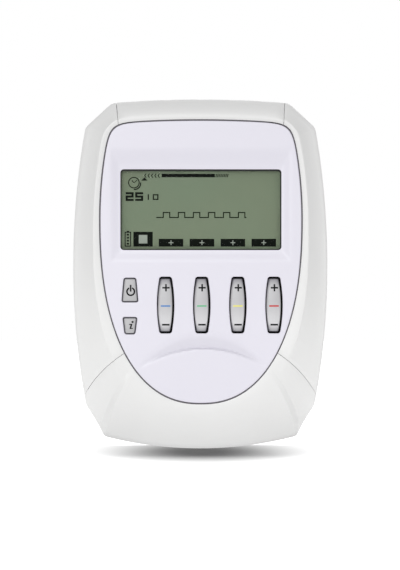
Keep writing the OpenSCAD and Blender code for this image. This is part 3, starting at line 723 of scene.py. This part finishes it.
def digit(bm, sign, x, z, width, height, stroke):
    """A squared-off digit made of up to seven strokes, with its lower left corner at x, z."""
    half = height / 2
    inside = (x + stroke, x + width - stroke)
    strokes = {
        "a": (x, z + height - stroke, x + width, z + height), "d": (x, z, x + width, z + stroke),
        "g": (x, z + half - stroke / 2, x + width, z + half + stroke / 2),
        "b": (inside[1], z + half, x + width, z + height - stroke),
        "c": (inside[1], z + stroke, x + width, z + half),
        "e": (x, z + stroke, inside[0], z + half),
        "f": (x, z + half, inside[0], z + height - stroke),
    }
    cut = stroke / 2 if "g" in SEGMENTS[sign] else 0
    if sign == "1":
        bar(bm, inside[1], z, x + width, z + height)
        return
    for key in SEGMENTS[sign]:
        x0, z0, x1, z1 = strokes[key]
        if key in "bf":
            z0 += cut
        if key in "ce":
            z1 -= cut
        bar(bm, x0, z0, x1, z1)


def plus(bm, x, z, size, stroke):
    """Adds a plus sign round a point to a drawing."""
    bar(bm, x - stroke / 2, z - size / 2, x + stroke / 2, z + size / 2)
    bar(bm, x - size / 2, z - stroke / 2, x - stroke / 2, z + stroke / 2)
    bar(bm, x + stroke / 2, z - stroke / 2, x + size / 2, z + stroke / 2)


lcd_ink = surface_finish("lcd_ink", (0.004, 0.006, 0.004), 0.6, specular=0.05)
lcd_light = surface_finish("lcd_light_dots", (0.30, 0.34, 0.29), 0.6)
LEFT = DISPLAY[0] - DISPLAY_W / 2
LOW = DISPLAY[1] - DISPLAY_H / 2
TOP = DISPLAY[1] + DISPLAY_H / 2
bm = bmesh.new()
clock = (LEFT + 5.4, TOP - 5.3)
arc(bm, *clock, 2.1, 0.42, steps=28)
arc(bm, clock[0] + 0.35, clock[1] - 0.35, 2.35, 0.5, start=-100, sweep=110, steps=12)
HOUR_HAND = [(-0.95, 0.75), (-0.6, 1.0), (0.05, 0.1), (-0.05, -0.25)]
MINUTE_HAND = [(0.05, -0.25), (0.05, 0.1), (1.1, 1.1), (1.35, 0.85)]
for hand in [HOUR_HAND, MINUTE_HAND]:
    corners(bm, *[(clock[0] + x, clock[1] + z) for x, z in hand])
corners(bm, (LEFT + 8.3, TOP - 4.5), (LEFT + 10.9, TOP - 4.5), (LEFT + 9.6, TOP - 3.2))
for k in range(5):
    tip = LEFT + 9.5 + 1.34 * k
    for side in (-1, 1):
        corners(bm, (tip, TOP - 2.5), (tip + 0.42, TOP - 2.5), (tip + 0.98, TOP - 2.5 + side * 0.85),
                (tip + 0.56, TOP - 2.5 + side * 0.85))
bar(bm, LEFT + 16.45, TOP - 3.15, LEFT + 37.7, TOP - 1.75)
BAR_PITCH = 0.66
for k in range(8):
    foot = LEFT + 37.9 + BAR_PITCH * k
    corners(bm, (foot, TOP - 3.1), (foot + 0.36, TOP - 3.1), (foot + BAR_PITCH, TOP - 1.8),
            (foot + 0.3, TOP - 1.8))
digit(bm, "2", LEFT + 2.1, TOP - 12.6, 3.2, 3.5, 0.85)
digit(bm, "5", LEFT + 5.9, TOP - 12.6, 3.2, 3.5, 0.85)
digit(bm, "1", LEFT + 10.4, TOP - 12.2, 1.0, 2.3, 0.5)
digit(bm, "0", LEFT + 12.9, TOP - 12.2, 2.3, 2.3, 0.5)
pulse_z, pulse_h, stroke = DISPLAY[1] - 3.3, 2.4, 0.42
for k in range(6):
    foot = -17.8 + 6.0 * k
    bar(bm, foot, pulse_z, foot + 2.6, pulse_z + stroke)
    bar(bm, foot + 2.6, pulse_z, foot + 2.6 + stroke, pulse_z + pulse_h)
    bar(bm, foot + 2.6 + stroke, pulse_z + pulse_h - stroke, foot + 5.6 - stroke, pulse_z + pulse_h)
    bar(bm, foot + 5.6 - stroke, pulse_z, foot + 5.6, pulse_z + pulse_h)
    bar(bm, foot + 5.6, pulse_z, foot + 6.0, pulse_z + stroke)
cell_x, cell_w, cell_h = LEFT + 1.7, 2.6, 5.9
bar(bm, cell_x, LOW + 1.4, cell_x + cell_w, LOW + 1.8)
bar(bm, cell_x, LOW + 1.0 + cell_h, cell_x + cell_w, LOW + 1.4 + cell_h)
bar(bm, cell_x, LOW + 1.8, cell_x + 0.4, LOW + 1.0 + cell_h)
bar(bm, cell_x + cell_w - 0.4, LOW + 1.8, cell_x + cell_w, LOW + 1.0 + cell_h)
bar(bm, cell_x + 0.8, LOW + 1.4 + cell_h, cell_x + cell_w - 0.8, LOW + 1.8 + cell_h)
for k in range(4):
    bar(bm, cell_x + 0.85, LOW + 2.2 + 1.2 * k, cell_x + cell_w - 0.85, LOW + 2.9 + 1.2 * k)
bar(bm, LEFT + 5.2, LOW + 1.4, LEFT + 12.9, LOW + 7.3)
BOX_X = [LEFT + 15.3 + 12.35 * k for k in range(4)]
for x in BOX_X:
    bar(bm, x, LOW + 1.4, x + 9.8, LOW + 4.5)
drawing_on(bm, "lcd_dark_signs", lcd_ink, lambda x, z: LCD_Y - 0.01)
bm = bmesh.new()
stop = (LEFT + 9.05, LOW + 4.35)
bar(bm, stop[0] - 1.7, stop[1] - 1.7, stop[0] + 1.7, stop[1] + 1.7)
for x in BOX_X:
    plus(bm, x + 4.9, LOW + 2.95, 1.9, 0.36)
drawing_on(bm, "lcd_light_signs", lcd_light, lambda x, z: LCD_Y - 0.05)

paint_node("lcd_bezel", surface_finish("black_lcd_frame", (0.03, 0.03, 0.032), 0.55))
paint_node("lcd_backlight", surface_finish("milky_light_guide", (0.85, 0.85, 0.8), 0.3, tint=0.03))
paint_node("lcd_connector", surface_finish("pink_contact_strip", (0.6, 0.2, 0.25), 0.6, stretch=(4, 1, 0.1)))


# ---- Keys ----
# Silver-lacquered keys: four long rockers on one shaft, one for each channel, and a power and an information
# key beside them. Each shows a crowned face with soft edges, and its flange stays behind the faceplate.
def key_lacquer_painted_shade(name, painted_shade_levels):
    """Silver lacquer with painted shade: its colour is scaled between two levels along the rockers, it turns
    grey where the key sinks into its opening, and it is black, with less shine, where the mesh marks a
    painted shadow in the gap.

    The two levels are its painted brightness at the lower end and at the upper end of the rockers.
    """
    material = surface_finish(name, (1, 0.99, 1.03), 0.42, metallic=0.1, grain=2600, bump=0.04, tint=0.04)
    nodes, links = material.node_tree.nodes, material.node_tree.links
    axes = nodes.new("ShaderNodeSeparateXYZ")
    # Painted shade: the colour is scaled from the first level low on the rockers to the second above their
    # middle.
    height = map_range(nodes, *painted_shade_levels, (ROCKER_Z - 8) * MM, (ROCKER_Z + 3) * MM, smoothed=True)
    shade = nodes.new("ShaderNodeVectorMath")
    shade.operation = "SCALE"
    # Painted shade: the colour turns grey where the key lies deeper, on its sunk ends and on the walls
    # inside its opening.
    painted_sunk_shade = fade_with_depth(material, shade.outputs["Vector"], FRONT_Y + 0.6, FRONT_Y + 1.9,
                                (0.16, 0.155, 0.18, 1))
    # Painted shadow: black, with less shine, where the mesh's attribute marks the shaded gap along a
    # rocker's right edge and ends.
    bare = nodes.new("ShaderNodeAttribute")
    bare.attribute_name = "bare"
    painted_gap_black = colour_mix(nodes)
    painted_gap_black.inputs["B"].default_value = (0.004, 0.004, 0.004, 1)
    gloss = map_range(nodes, 0.5, 0.05)
    links.new(nodes["Texture Coordinate"].outputs["Object"], axes.inputs["Vector"])
    links.new(axes.outputs["Z"], height.inputs["Value"])
    links.new(nodes["Mix"].outputs["Result"], shade.inputs["Vector"])
    links.new(height.outputs["Result"], shade.inputs["Scale"])
    links.new(painted_sunk_shade.outputs["Result"], painted_gap_black.inputs["A"])
    links.new(bare.outputs["Fac"], painted_gap_black.inputs["Factor"])
    links.new(bare.outputs["Fac"], gloss.inputs["Value"])
    links.new(gloss.outputs["Result"], nodes["Principled BSDF"].inputs["Specular IOR Level"])
    links.new(painted_gap_black.outputs["Result"], nodes["Principled BSDF"].inputs["Base Color"])
    return material


# The rockers' painted shade darkens them toward the top.
rocker_silver = key_lacquer_painted_shade("rocker_key_lacquer", (0.68, 0.48))
small_silver = key_lacquer_painted_shade("small_key_lacquer", (0.47, 0.47))
print_black = surface_finish("black_key_print", (0.006, 0.006, 0.007), 0.5, specular=0.1)
SMALL_PROUD = 0.5
CROWN_R = 40.0
KEY_EDGE = 1.0
END_EDGE = 0.7
SMALL_EDGE = 0.6
# Width and fade of the painted black shadow along the rockers' right edges and ends.
GAP_SHADOW_EDGE, GAP_SHADOW_FADE = 0.42, 0.12
PRINT_T = 0.03


def edge_fall(distance, radius):
    """How far a rounded edge lies below the face at a distance in from it."""
    if distance >= radius:
        return 0.0
    return radius - math.sqrt(max(0.0, radius * radius - (radius - distance) ** 2))


def rocker_face(i):
    """The depth of a rocker's crowned face at a place on it."""
    def depth(x, z):
        along = z - ROCKER_Z
        crown = CROWN_R - math.sqrt(CROWN_R ** 2 - along ** 2)
        half = rocker_side(along) - KEY_GAP
        side = half - abs(x - ROCKER_X[i])
        end = ROCKER_H / 2 - KEY_GAP - abs(along)
        camber = 0.2 * ((x - ROCKER_X[i]) / half) ** 2
        edge = KEY_EDGE if x > ROCKER_X[i] else 0.7 * KEY_EDGE
        return FRONT_Y + PRINT_T + crown + camber + edge_fall(side, edge) + edge_fall(end, END_EDGE)
    return depth


def small_face(middle, half_h, half_w):
    """The depth of a small key's dished face at a place on it."""
    def depth(x, z):
        along = z - middle[1]
        half = half_w(along) - KEY_GAP
        side = half - abs(x - middle[0])
        end = half_h - KEY_GAP - abs(along)
        dish = 0.15 * (((x - middle[0]) / half) ** 2 + (along / half_h) ** 2)
        fall = edge_fall(side, SMALL_EDGE) * 0.7 + edge_fall(end, SMALL_EDGE) * 0.7
        return FACE_Y - SMALL_PROUD + dish + fall
    return depth


def merged_copy(node, flat_within=0.5):
    """A copy of a CAD node with its loose triangles joined, ready for soft edges."""
    bm = bmesh.new()
    bm.from_mesh(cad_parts[node].data)
    bmesh.ops.scale(bm, vec=(1 / MM, 1 / MM, 1 / MM), verts=bm.verts[:])
    bmesh.ops.remove_doubles(bm, verts=bm.verts[:], dist=1e-3)
    angle = math.radians(flat_within)
    bmesh.ops.dissolve_limit(bm, angle_limit=angle, verts=bm.verts[:], edges=bm.edges[:])
    return bm


def cut_copy(node, depth):
    """A copy of a CAD node without what lies in front of a depth."""
    bm = merged_copy(node, 1)
    cut = bmesh.ops.bisect_plane(bm, geom=bm.verts[:] + bm.edges[:] + bm.faces[:], dist=1e-4,
                                 plane_co=(0, depth, 0), plane_no=(0, -1, 0), clear_outer=True)
    rim = [g for g in cut["geom_cut"] if isinstance(g, bmesh.types.BMEdge)]
    bmesh.ops.holes_fill(bm, edges=rim, sides=0)
    return bm


def key_cap(bm, middle, half_h, half_w, corner, face, back):
    """Adds a key's cap: a sheet over its outline, dense at the edges, with walls down to its flange."""
    high = half_h - KEY_GAP
    r = corner - 0.3
    across, along = 29, 61

    def spread(k, count, power):
        t = 2 * k / (count - 1) - 1
        return math.copysign(1 - (1 - abs(t)) ** power, t)

    def cap_point(i, j):
        z = high * spread(j, along, 1.7)
        over = max(0.0, abs(z) - (high - r))
        half = half_w(z) - KEY_GAP - r + math.sqrt(max(0.0, r * r - over * over))
        x = middle[0] + half * spread(i, across, 2.0)
        return Vector((x, face(x, middle[1] + z), middle[1] + z))

    cap = sheet_of(across, along, cap_point)
    face_front(cap)
    walled(cap, back)
    mesh = bpy.data.meshes.new("cap")
    cap.to_mesh(mesh)
    cap.free()
    bm.from_mesh(mesh)
    bpy.data.meshes.remove(mesh)


BARS = {
    1: ("blue", (0.09, 0.24, 0.55)), 2: ("green", (0.17, 0.52, 0.28)),
    3: ("yellow", (0.80, 0.76, 0.20)), 4: ("red", (0.55, 0.03, 0.03)),
}
for name, (middle, half_h, half_w, corner) in KEYS.items():
    rocker = name.startswith("channel")
    number = int(name[-1]) if rocker else 0
    face = rocker_face(number - 1) if rocker else small_face(middle, half_h, half_w)
    cut_at = FACE_BACK + (0.5 if rocker else 0.05)
    bm = cut_copy(name, cut_at)
    key_cap(bm, middle, half_h, half_w, corner, face, cut_at + 0.1)
    # Painted shadow: a band along each rocker's right edge and ends is marked for the lacquer to paint
    # black, where the gap beside it lies in shade.
    bare = bm.verts.layers.float.new("bare")
    if rocker:
        for vert in bm.verts:
            along = vert.co.z - middle[1]
            right = half_w(along) - KEY_GAP - vert.co.x + middle[0]
            end = half_h - KEY_GAP - abs(along)
            vert[bare] = min(1.0, max(0.0, (GAP_SHADOW_EDGE - min(right, end)) / GAP_SHADOW_FADE))
    lacquer = rocker_silver if rocker else small_silver
    finish_piece(bm, f"{name}_cap", lacquer, name, [name])
    ink = bmesh.new()
    x, z = middle
    if rocker:
        plus(ink, x + 0.15, z + 6.9, 2.9, 0.62)
        bar(ink, x - 1.4, z - 8.15, x + 1.6, z - 7.5)
        stripe = bmesh.new()
        bar(stripe, x - 1.9, z - 0.65, x + 1.9, z - 0.05)
        colour, rgb = BARS[number]
        stripe_ink = surface_finish(f"{colour}_key_print", rgb, 0.5)
        drawing_on(stripe, f"{name}_{colour}_bar", stripe_ink,
                   lambda x, z: face(x, z) - PRINT_T, name, cell=0.4)
    elif name == "power_key":
        arc(ink, x + 0.3, z - 0.6, 1.5, 0.62, start=112, sweep=316, steps=30)
        bar(ink, x + 0.3 - 0.31, z - 0.6, x + 0.3 + 0.31, z + 2.1)
    else:
        corners(ink, (x - 0.1, z - 0.95), (x + 0.55, z - 0.95), (x + 1.0, z + 0.75), (x + 0.35, z + 0.75))
        corners(ink, (x - 0.25, z + 0.75), (x - 0.3, z + 0.35), (x + 0.24, z + 0.35), (x + 0.35, z + 0.75))
        corners(ink, (x - 0.1, z - 0.95), (x - 0.1, z - 1.35), (x + 1.15, z - 1.2), (x + 1.25, z - 0.85),
                (x + 0.55, z - 0.95))
        arc(ink, x + 1.05, z + 1.5, 0.24, 0.4, steps=12)
    drawing_on(ink, f"{name}_print", print_black,
               lambda x, z: face(x, z) - PRINT_T, name, cell=0.6)


# ---- Sockets ----
# Four output sockets and the charger's jack open upward through the top cap. Each is a black moulded barrel
# under a snap-in collar, and the outputs' collars are coloured like the bars on their keys.
socket_plastic = surface_finish("black_socket_plastic", (0.022, 0.022, 0.025), 0.45)
collar_colours = {
    "socket_collar_1": ("collar_blue", (0.05, 0.17, 0.50)),
    "socket_collar_2": ("collar_green", (0.08, 0.40, 0.17)),
    "socket_collar_3": ("collar_yellow", (0.78, 0.66, 0.08)),
    "socket_collar_4": ("collar_red", (0.50, 0.02, 0.025)),
    "charger_collar": ("socket_black", (0.03, 0.03, 0.033)),
}
COLLAR_GAP = 0.1
top_cap = bpy.data.objects["top_cap_skin"]
for node, (slot, rgb) in collar_colours.items():
    gloss = surface_finish(f"{node}_gloss", rgb, 0.3)
    collar = finish_piece(merged_copy(node), f"{node}_ring", gloss, stands_for=[node])
    soften(collar, 0.2)
    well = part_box(node)
    middle = ((well[0] + well[1]) / 2) / MM
    radius = (well[1].x - well[0].x) / 2 / MM + COLLAR_GAP
    bm = bmesh.new()
    bmesh.ops.create_cone(bm, cap_ends=True, segments=64, radius1=radius, radius2=radius, depth=8,
                          matrix=Matrix.Translation(middle))
    cut_with(top_cap, bm)
shade_soft(top_cap)
for node in [*[f"output_socket_{k}" for k in (1, 2, 3, 4)], "charger_socket"]:
    paint_node(node, socket_plastic)
paint_node("socket_contacts", surface_finish("gold_plated_pins", (0.80, 0.56, 0.22), 0.25, metallic=1.0))


# ---- Rear housing ----
# One deep white moulding with a textured back. It holds the battery bay, the screw wells and the pockets of
# four rubber feet, and five screws pull it to the chassis.
rear_plastic = moulded_plastic("white_textured_back", (0.78, 0.78, 0.775), 0.5, grain=1100, bump=0.22)


def softened_node(node, name, material, width, limit=40, body="case"):
    """Stands a copy of a CAD node with soft edges in for it."""
    soften(finish_piece(merged_copy(node), name, material, body, [node]), width, limit)


softened_node("rear_housing", "rear_housing_shell", rear_plastic, 0.25, limit=50)
softened_node("battery_door", "battery_door_panel", rear_plastic, 0.25, body="battery_door")
zinc = surface_finish("zinc_plated_steel", (0.62, 0.62, 0.60), 0.35, metallic=1.0, stretch=(1, 0.2, 1))
softened_node("housing_screws", "housing_screw_heads", zinc, 0.15)
foot_rubber = surface_finish("grey_foot_rubber", (0.05, 0.05, 0.052), 0.8, bump=0.2)
softened_node("rubber_feet", "rubber_foot_pads", foot_rubber, 0.35)


# ---- Battery ----
# Four rechargeable cells side by side, turned end for end, in plain green sleeves with bare steel ends, held
# between coil springs and nickel-plated contact plates.
sleeve, nodes, links, shader = new_material("green_cell_sleeve")
place = nodes.new("ShaderNodeTexCoord")
height = nodes.new("ShaderNodeSeparateXYZ")
band = nodes.new("ShaderNodeValToRGB")
cells_low, cells_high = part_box("battery_cells")
span = map_range(nodes, 0, 1, cells_low.z, cells_high.z)
BARE_STEEL = (0.55, 0.55, 0.53, 1)
CELL_GREEN, CELL_WHITE = (0.05, 0.30, 0.14), (0.75, 0.76, 0.72)
band.color_ramp.interpolation = "CONSTANT"
band.color_ramp.elements[0].color = BARE_STEEL
band.color_ramp.elements[1].position = 0.97
band.color_ramp.elements[1].color = BARE_STEEL
for position, rgb in [(0.09, CELL_GREEN), (0.60, CELL_WHITE), (0.66, CELL_GREEN)]:
    stop_colour = band.color_ramp.elements.new(position)
    stop_colour.color = (*rgb, 1)
links.new(place.outputs["Object"], height.inputs["Vector"])
links.new(height.outputs["Z"], span.inputs["Value"])
links.new(span.outputs["Result"], band.inputs["Fac"])
links.new(band.outputs["Color"], shader.inputs["Base Color"])
shader.inputs["Roughness"].default_value = 0.28
softened_node("battery_cells", "battery_cell_sleeves", sleeve, 0.4)
nickel = surface_finish("nickel_plate", (0.66, 0.63, 0.58), 0.28, metallic=1.0)
paint_node("battery_springs", nickel)
paint_node("battery_plates", nickel)


# ---- Chassis, board and what it carries ----
# A dark glass-filled chassis behind the faceplate holds the window, the rocker shaft and the circuit board.
# The board carries the display, the switches, four output transformers, the processor and the buzzer.
inner_finishes = {
    "front_chassis": surface_finish("dark_glass_filled_nylon", (0.045, 0.045, 0.05), 0.6, bump=0.15),
    "main_board": surface_finish("green_solder_mask", (0.015, 0.13, 0.055), 0.35, grain=500, tint=0.25),
    "key_switches": surface_finish("switch_tin", (0.6, 0.6, 0.58), 0.4, metallic=0.8),
    "rocker_shaft": surface_finish("ground_steel_shaft", (0.6, 0.6, 0.6), 0.25, metallic=1.0,
                                   stretch=(0.1, 1, 1)),
    "output_transformers": surface_finish("transformer_ferrite", (0.07, 0.055, 0.045), 0.55, tint=0.2),
    "processor_chip": surface_finish("chip_epoxy", (0.02, 0.02, 0.021), 0.5),
    "board_components": surface_finish("component_sleeve", (0.26, 0.14, 0.07), 0.45, tint=0.2),
    "buzzer": surface_finish("buzzer_case", (0.02, 0.02, 0.02), 0.5),
    "board_screws": zinc,
}
for node, finish in inner_finishes.items():
    paint_node(node, finish)


# ---- Stage: floor, light and camera ----
# A floor that shows white, with a faint gloss, and broad soft lamps before the unit. One lamp high up behind
# it lights the floor alone, so that the unit's shadow falls softly forward. For the camera the floor glows
# white outside an oval round the unit, painted light that trims the shadow to that oval and fades it at the
# sides; for other rays it glows most near the unit and so lights the unit from below. The camera has a long
# lens.
world = bpy.data.worlds.new("studio")
bpy.context.scene.world = world
world.use_nodes = True
nodes, links = world.node_tree.nodes, world.node_tree.links
sky = nodes["Background"]
sky.inputs["Color"].default_value = (1, 1, 1, 1)
paths = nodes.new("ShaderNodeLightPath")
ROOM_LIGHT, BACKGROUND = 0.22, 1.0
level = map_range(nodes, ROOM_LIGHT, BACKGROUND)
seen = None
for ray in ["Is Camera Ray", "Is Glossy Ray", "Is Transmission Ray"]:
    either = nodes.new("ShaderNodeMath")
    either.operation = "MAXIMUM"
    links.new(paths.outputs[ray], either.inputs[0])
    if seen:
        links.new(seen.outputs["Value"], either.inputs[1])
    seen = either
links.new(seen.outputs["Value"], level.inputs["Value"])
links.new(level.outputs["Result"], sky.inputs["Strength"])

FLOOR_HALF = 1.5
bm = bmesh.new()
bmesh.ops.create_grid(bm, x_segments=4, y_segments=4, size=FLOOR_HALF)
floor_mesh = bpy.data.meshes.new("floor")
bm.to_mesh(floor_mesh)
bm.free()
floor = bpy.data.objects.new("floor", floor_mesh)
bpy.context.scene.collection.objects.link(floor)
floor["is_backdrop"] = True
paper, nodes, links, shader = new_material("white_floor")
shader.inputs["Base Color"].default_value = (0.15, 0.15, 0.15, 1)
shader.inputs["Roughness"].default_value = 0.9
shader.inputs["Specular IOR Level"].default_value = 0.0
gloss = nodes.new("ShaderNodeBsdfGlossy")
gloss.inputs["Roughness"].default_value = 0.08
blend = nodes.new("ShaderNodeMixShader")
blend.inputs["Fac"].default_value = 0.1
glow = nodes.new("ShaderNodeEmission")
glow.inputs["Color"].default_value = (1, 1, 1, 1)
place = nodes.new("ShaderNodeTexCoord")
oval = nodes.new("ShaderNodeVectorMath")
oval.operation = "MULTIPLY_ADD"
oval.inputs[1].default_value = (2.1, 1, 0)
oval.inputs[2].default_value = (0, 0.03, 0)
distance = nodes.new("ShaderNodeVectorMath")
distance.operation = "LENGTH"
# Distances on the floor, in metres, across an oval round the unit: where the painted white glow trims off
# the unit's shadow, and how far the floor's glow lights the unit.
SHADOW_FROM, SHADOW_TO = 0.012, 0.115
HIDDEN_GLOW_FROM, HIDDEN_GLOW_TO = 0.05, 0.25
painted_white_glow = map_range(nodes, 0, 1, SHADOW_FROM, SHADOW_TO, smoothed=True)
view_ray = nodes.new("ShaderNodeLightPath")
lift = nodes.new("ShaderNodeMix")
hidden_floor_glow = map_range(nodes, 0.64, 0.05, HIDDEN_GLOW_FROM, HIDDEN_GLOW_TO)
total = nodes.new("ShaderNodeAddShader")
links.new(shader.outputs["BSDF"], blend.inputs[1])
links.new(gloss.outputs["BSDF"], blend.inputs[2])
links.new(place.outputs["Object"], oval.inputs[0])
links.new(oval.outputs["Vector"], distance.inputs[0])
links.new(distance.outputs["Value"], painted_white_glow.inputs["Value"])
links.new(view_ray.outputs["Is Camera Ray"], lift.inputs["Factor"])
links.new(distance.outputs["Value"], hidden_floor_glow.inputs["Value"])
links.new(hidden_floor_glow.outputs["Result"], lift.inputs["A"])
links.new(painted_white_glow.outputs["Result"], lift.inputs["B"])
links.new(lift.outputs["Result"], glow.inputs["Strength"])
links.new(blend.outputs["Shader"], total.inputs[0])
links.new(glow.outputs["Emission"], total.inputs[1])
links.new(total.outputs["Shader"], nodes["Material Output"].inputs["Surface"])
floor_mesh.materials.append(paper)

FLOOR_ONLY = bpy.data.collections.new("floor_only")
FLOOR_ONLY.objects.link(floor)
NOT_FLOOR = bpy.data.collections.new("not_floor")
NOT_FLOOR.objects.link(floor)
NOT_FLOOR.collection_objects[0].light_linking.link_state = "EXCLUDE"


def soft_lamp(name, place, aim, size, watts, lights):
    """A square or oblong lamp in metres and watts, which lights one collection only."""
    lamp = bpy.data.lights.new(name, "AREA")
    lamp.shape = "RECTANGLE"
    lamp.size, lamp.size_y = size
    lamp.energy = watts
    holder = bpy.data.objects.new(name, lamp)
    holder.location = place
    holder.rotation_euler = (Vector(aim) - Vector(place)).to_track_quat("-Z", "Y").to_euler()
    bpy.context.scene.collection.objects.link(holder)
    holder.light_linking.receiver_collection = lights


MIDDLE = (0, 0, BODY_H / 2 * MM)
soft_lamp("key_lamp", (-0.2, -1.35, 0.38), MIDDLE, (0.5, 0.5), 5.5, NOT_FLOOR)
soft_lamp("fill_lamp", (0.5, -1.25, 0.1), MIDDLE, (0.6, 0.6), 0.4, NOT_FLOOR)
soft_lamp("back_lamp", (0.3, 1.2, 0.3), MIDDLE, (0.8, 0.8), 1.5, NOT_FLOOR)
soft_lamp("floor_lamp", (0.0, 0.33, 0.85), (0, 0, 0), (0.3, 0.3), 46.0, FLOOR_ONLY)

camera_data = bpy.data.cameras.new("camera")
camera_data.sensor_fit = "VERTICAL"
camera_data.sensor_height = 36
camera_data.clip_end = 20
camera = bpy.data.objects.new("camera", camera_data)
bpy.context.scene.collection.objects.link(camera)
FRAME_H = 0.2270
aim = Vector((-0.0004, FACE_Y * MM, 0.0657))
camera.location = Vector((-0.03, -1.3, 0.08))
camera_data.lens = camera_data.sensor_height * (aim - camera.location).length / FRAME_H
camera.rotation_euler = (aim - camera.location).to_track_quat("-Z", "Y").to_euler()
bpy.context.scene.camera = camera
bpy.context.scene.view_settings.view_transform = "Standard"

{"cad": [list(c) for c in CAD_BOX], "visual": [list(c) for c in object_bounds()]}
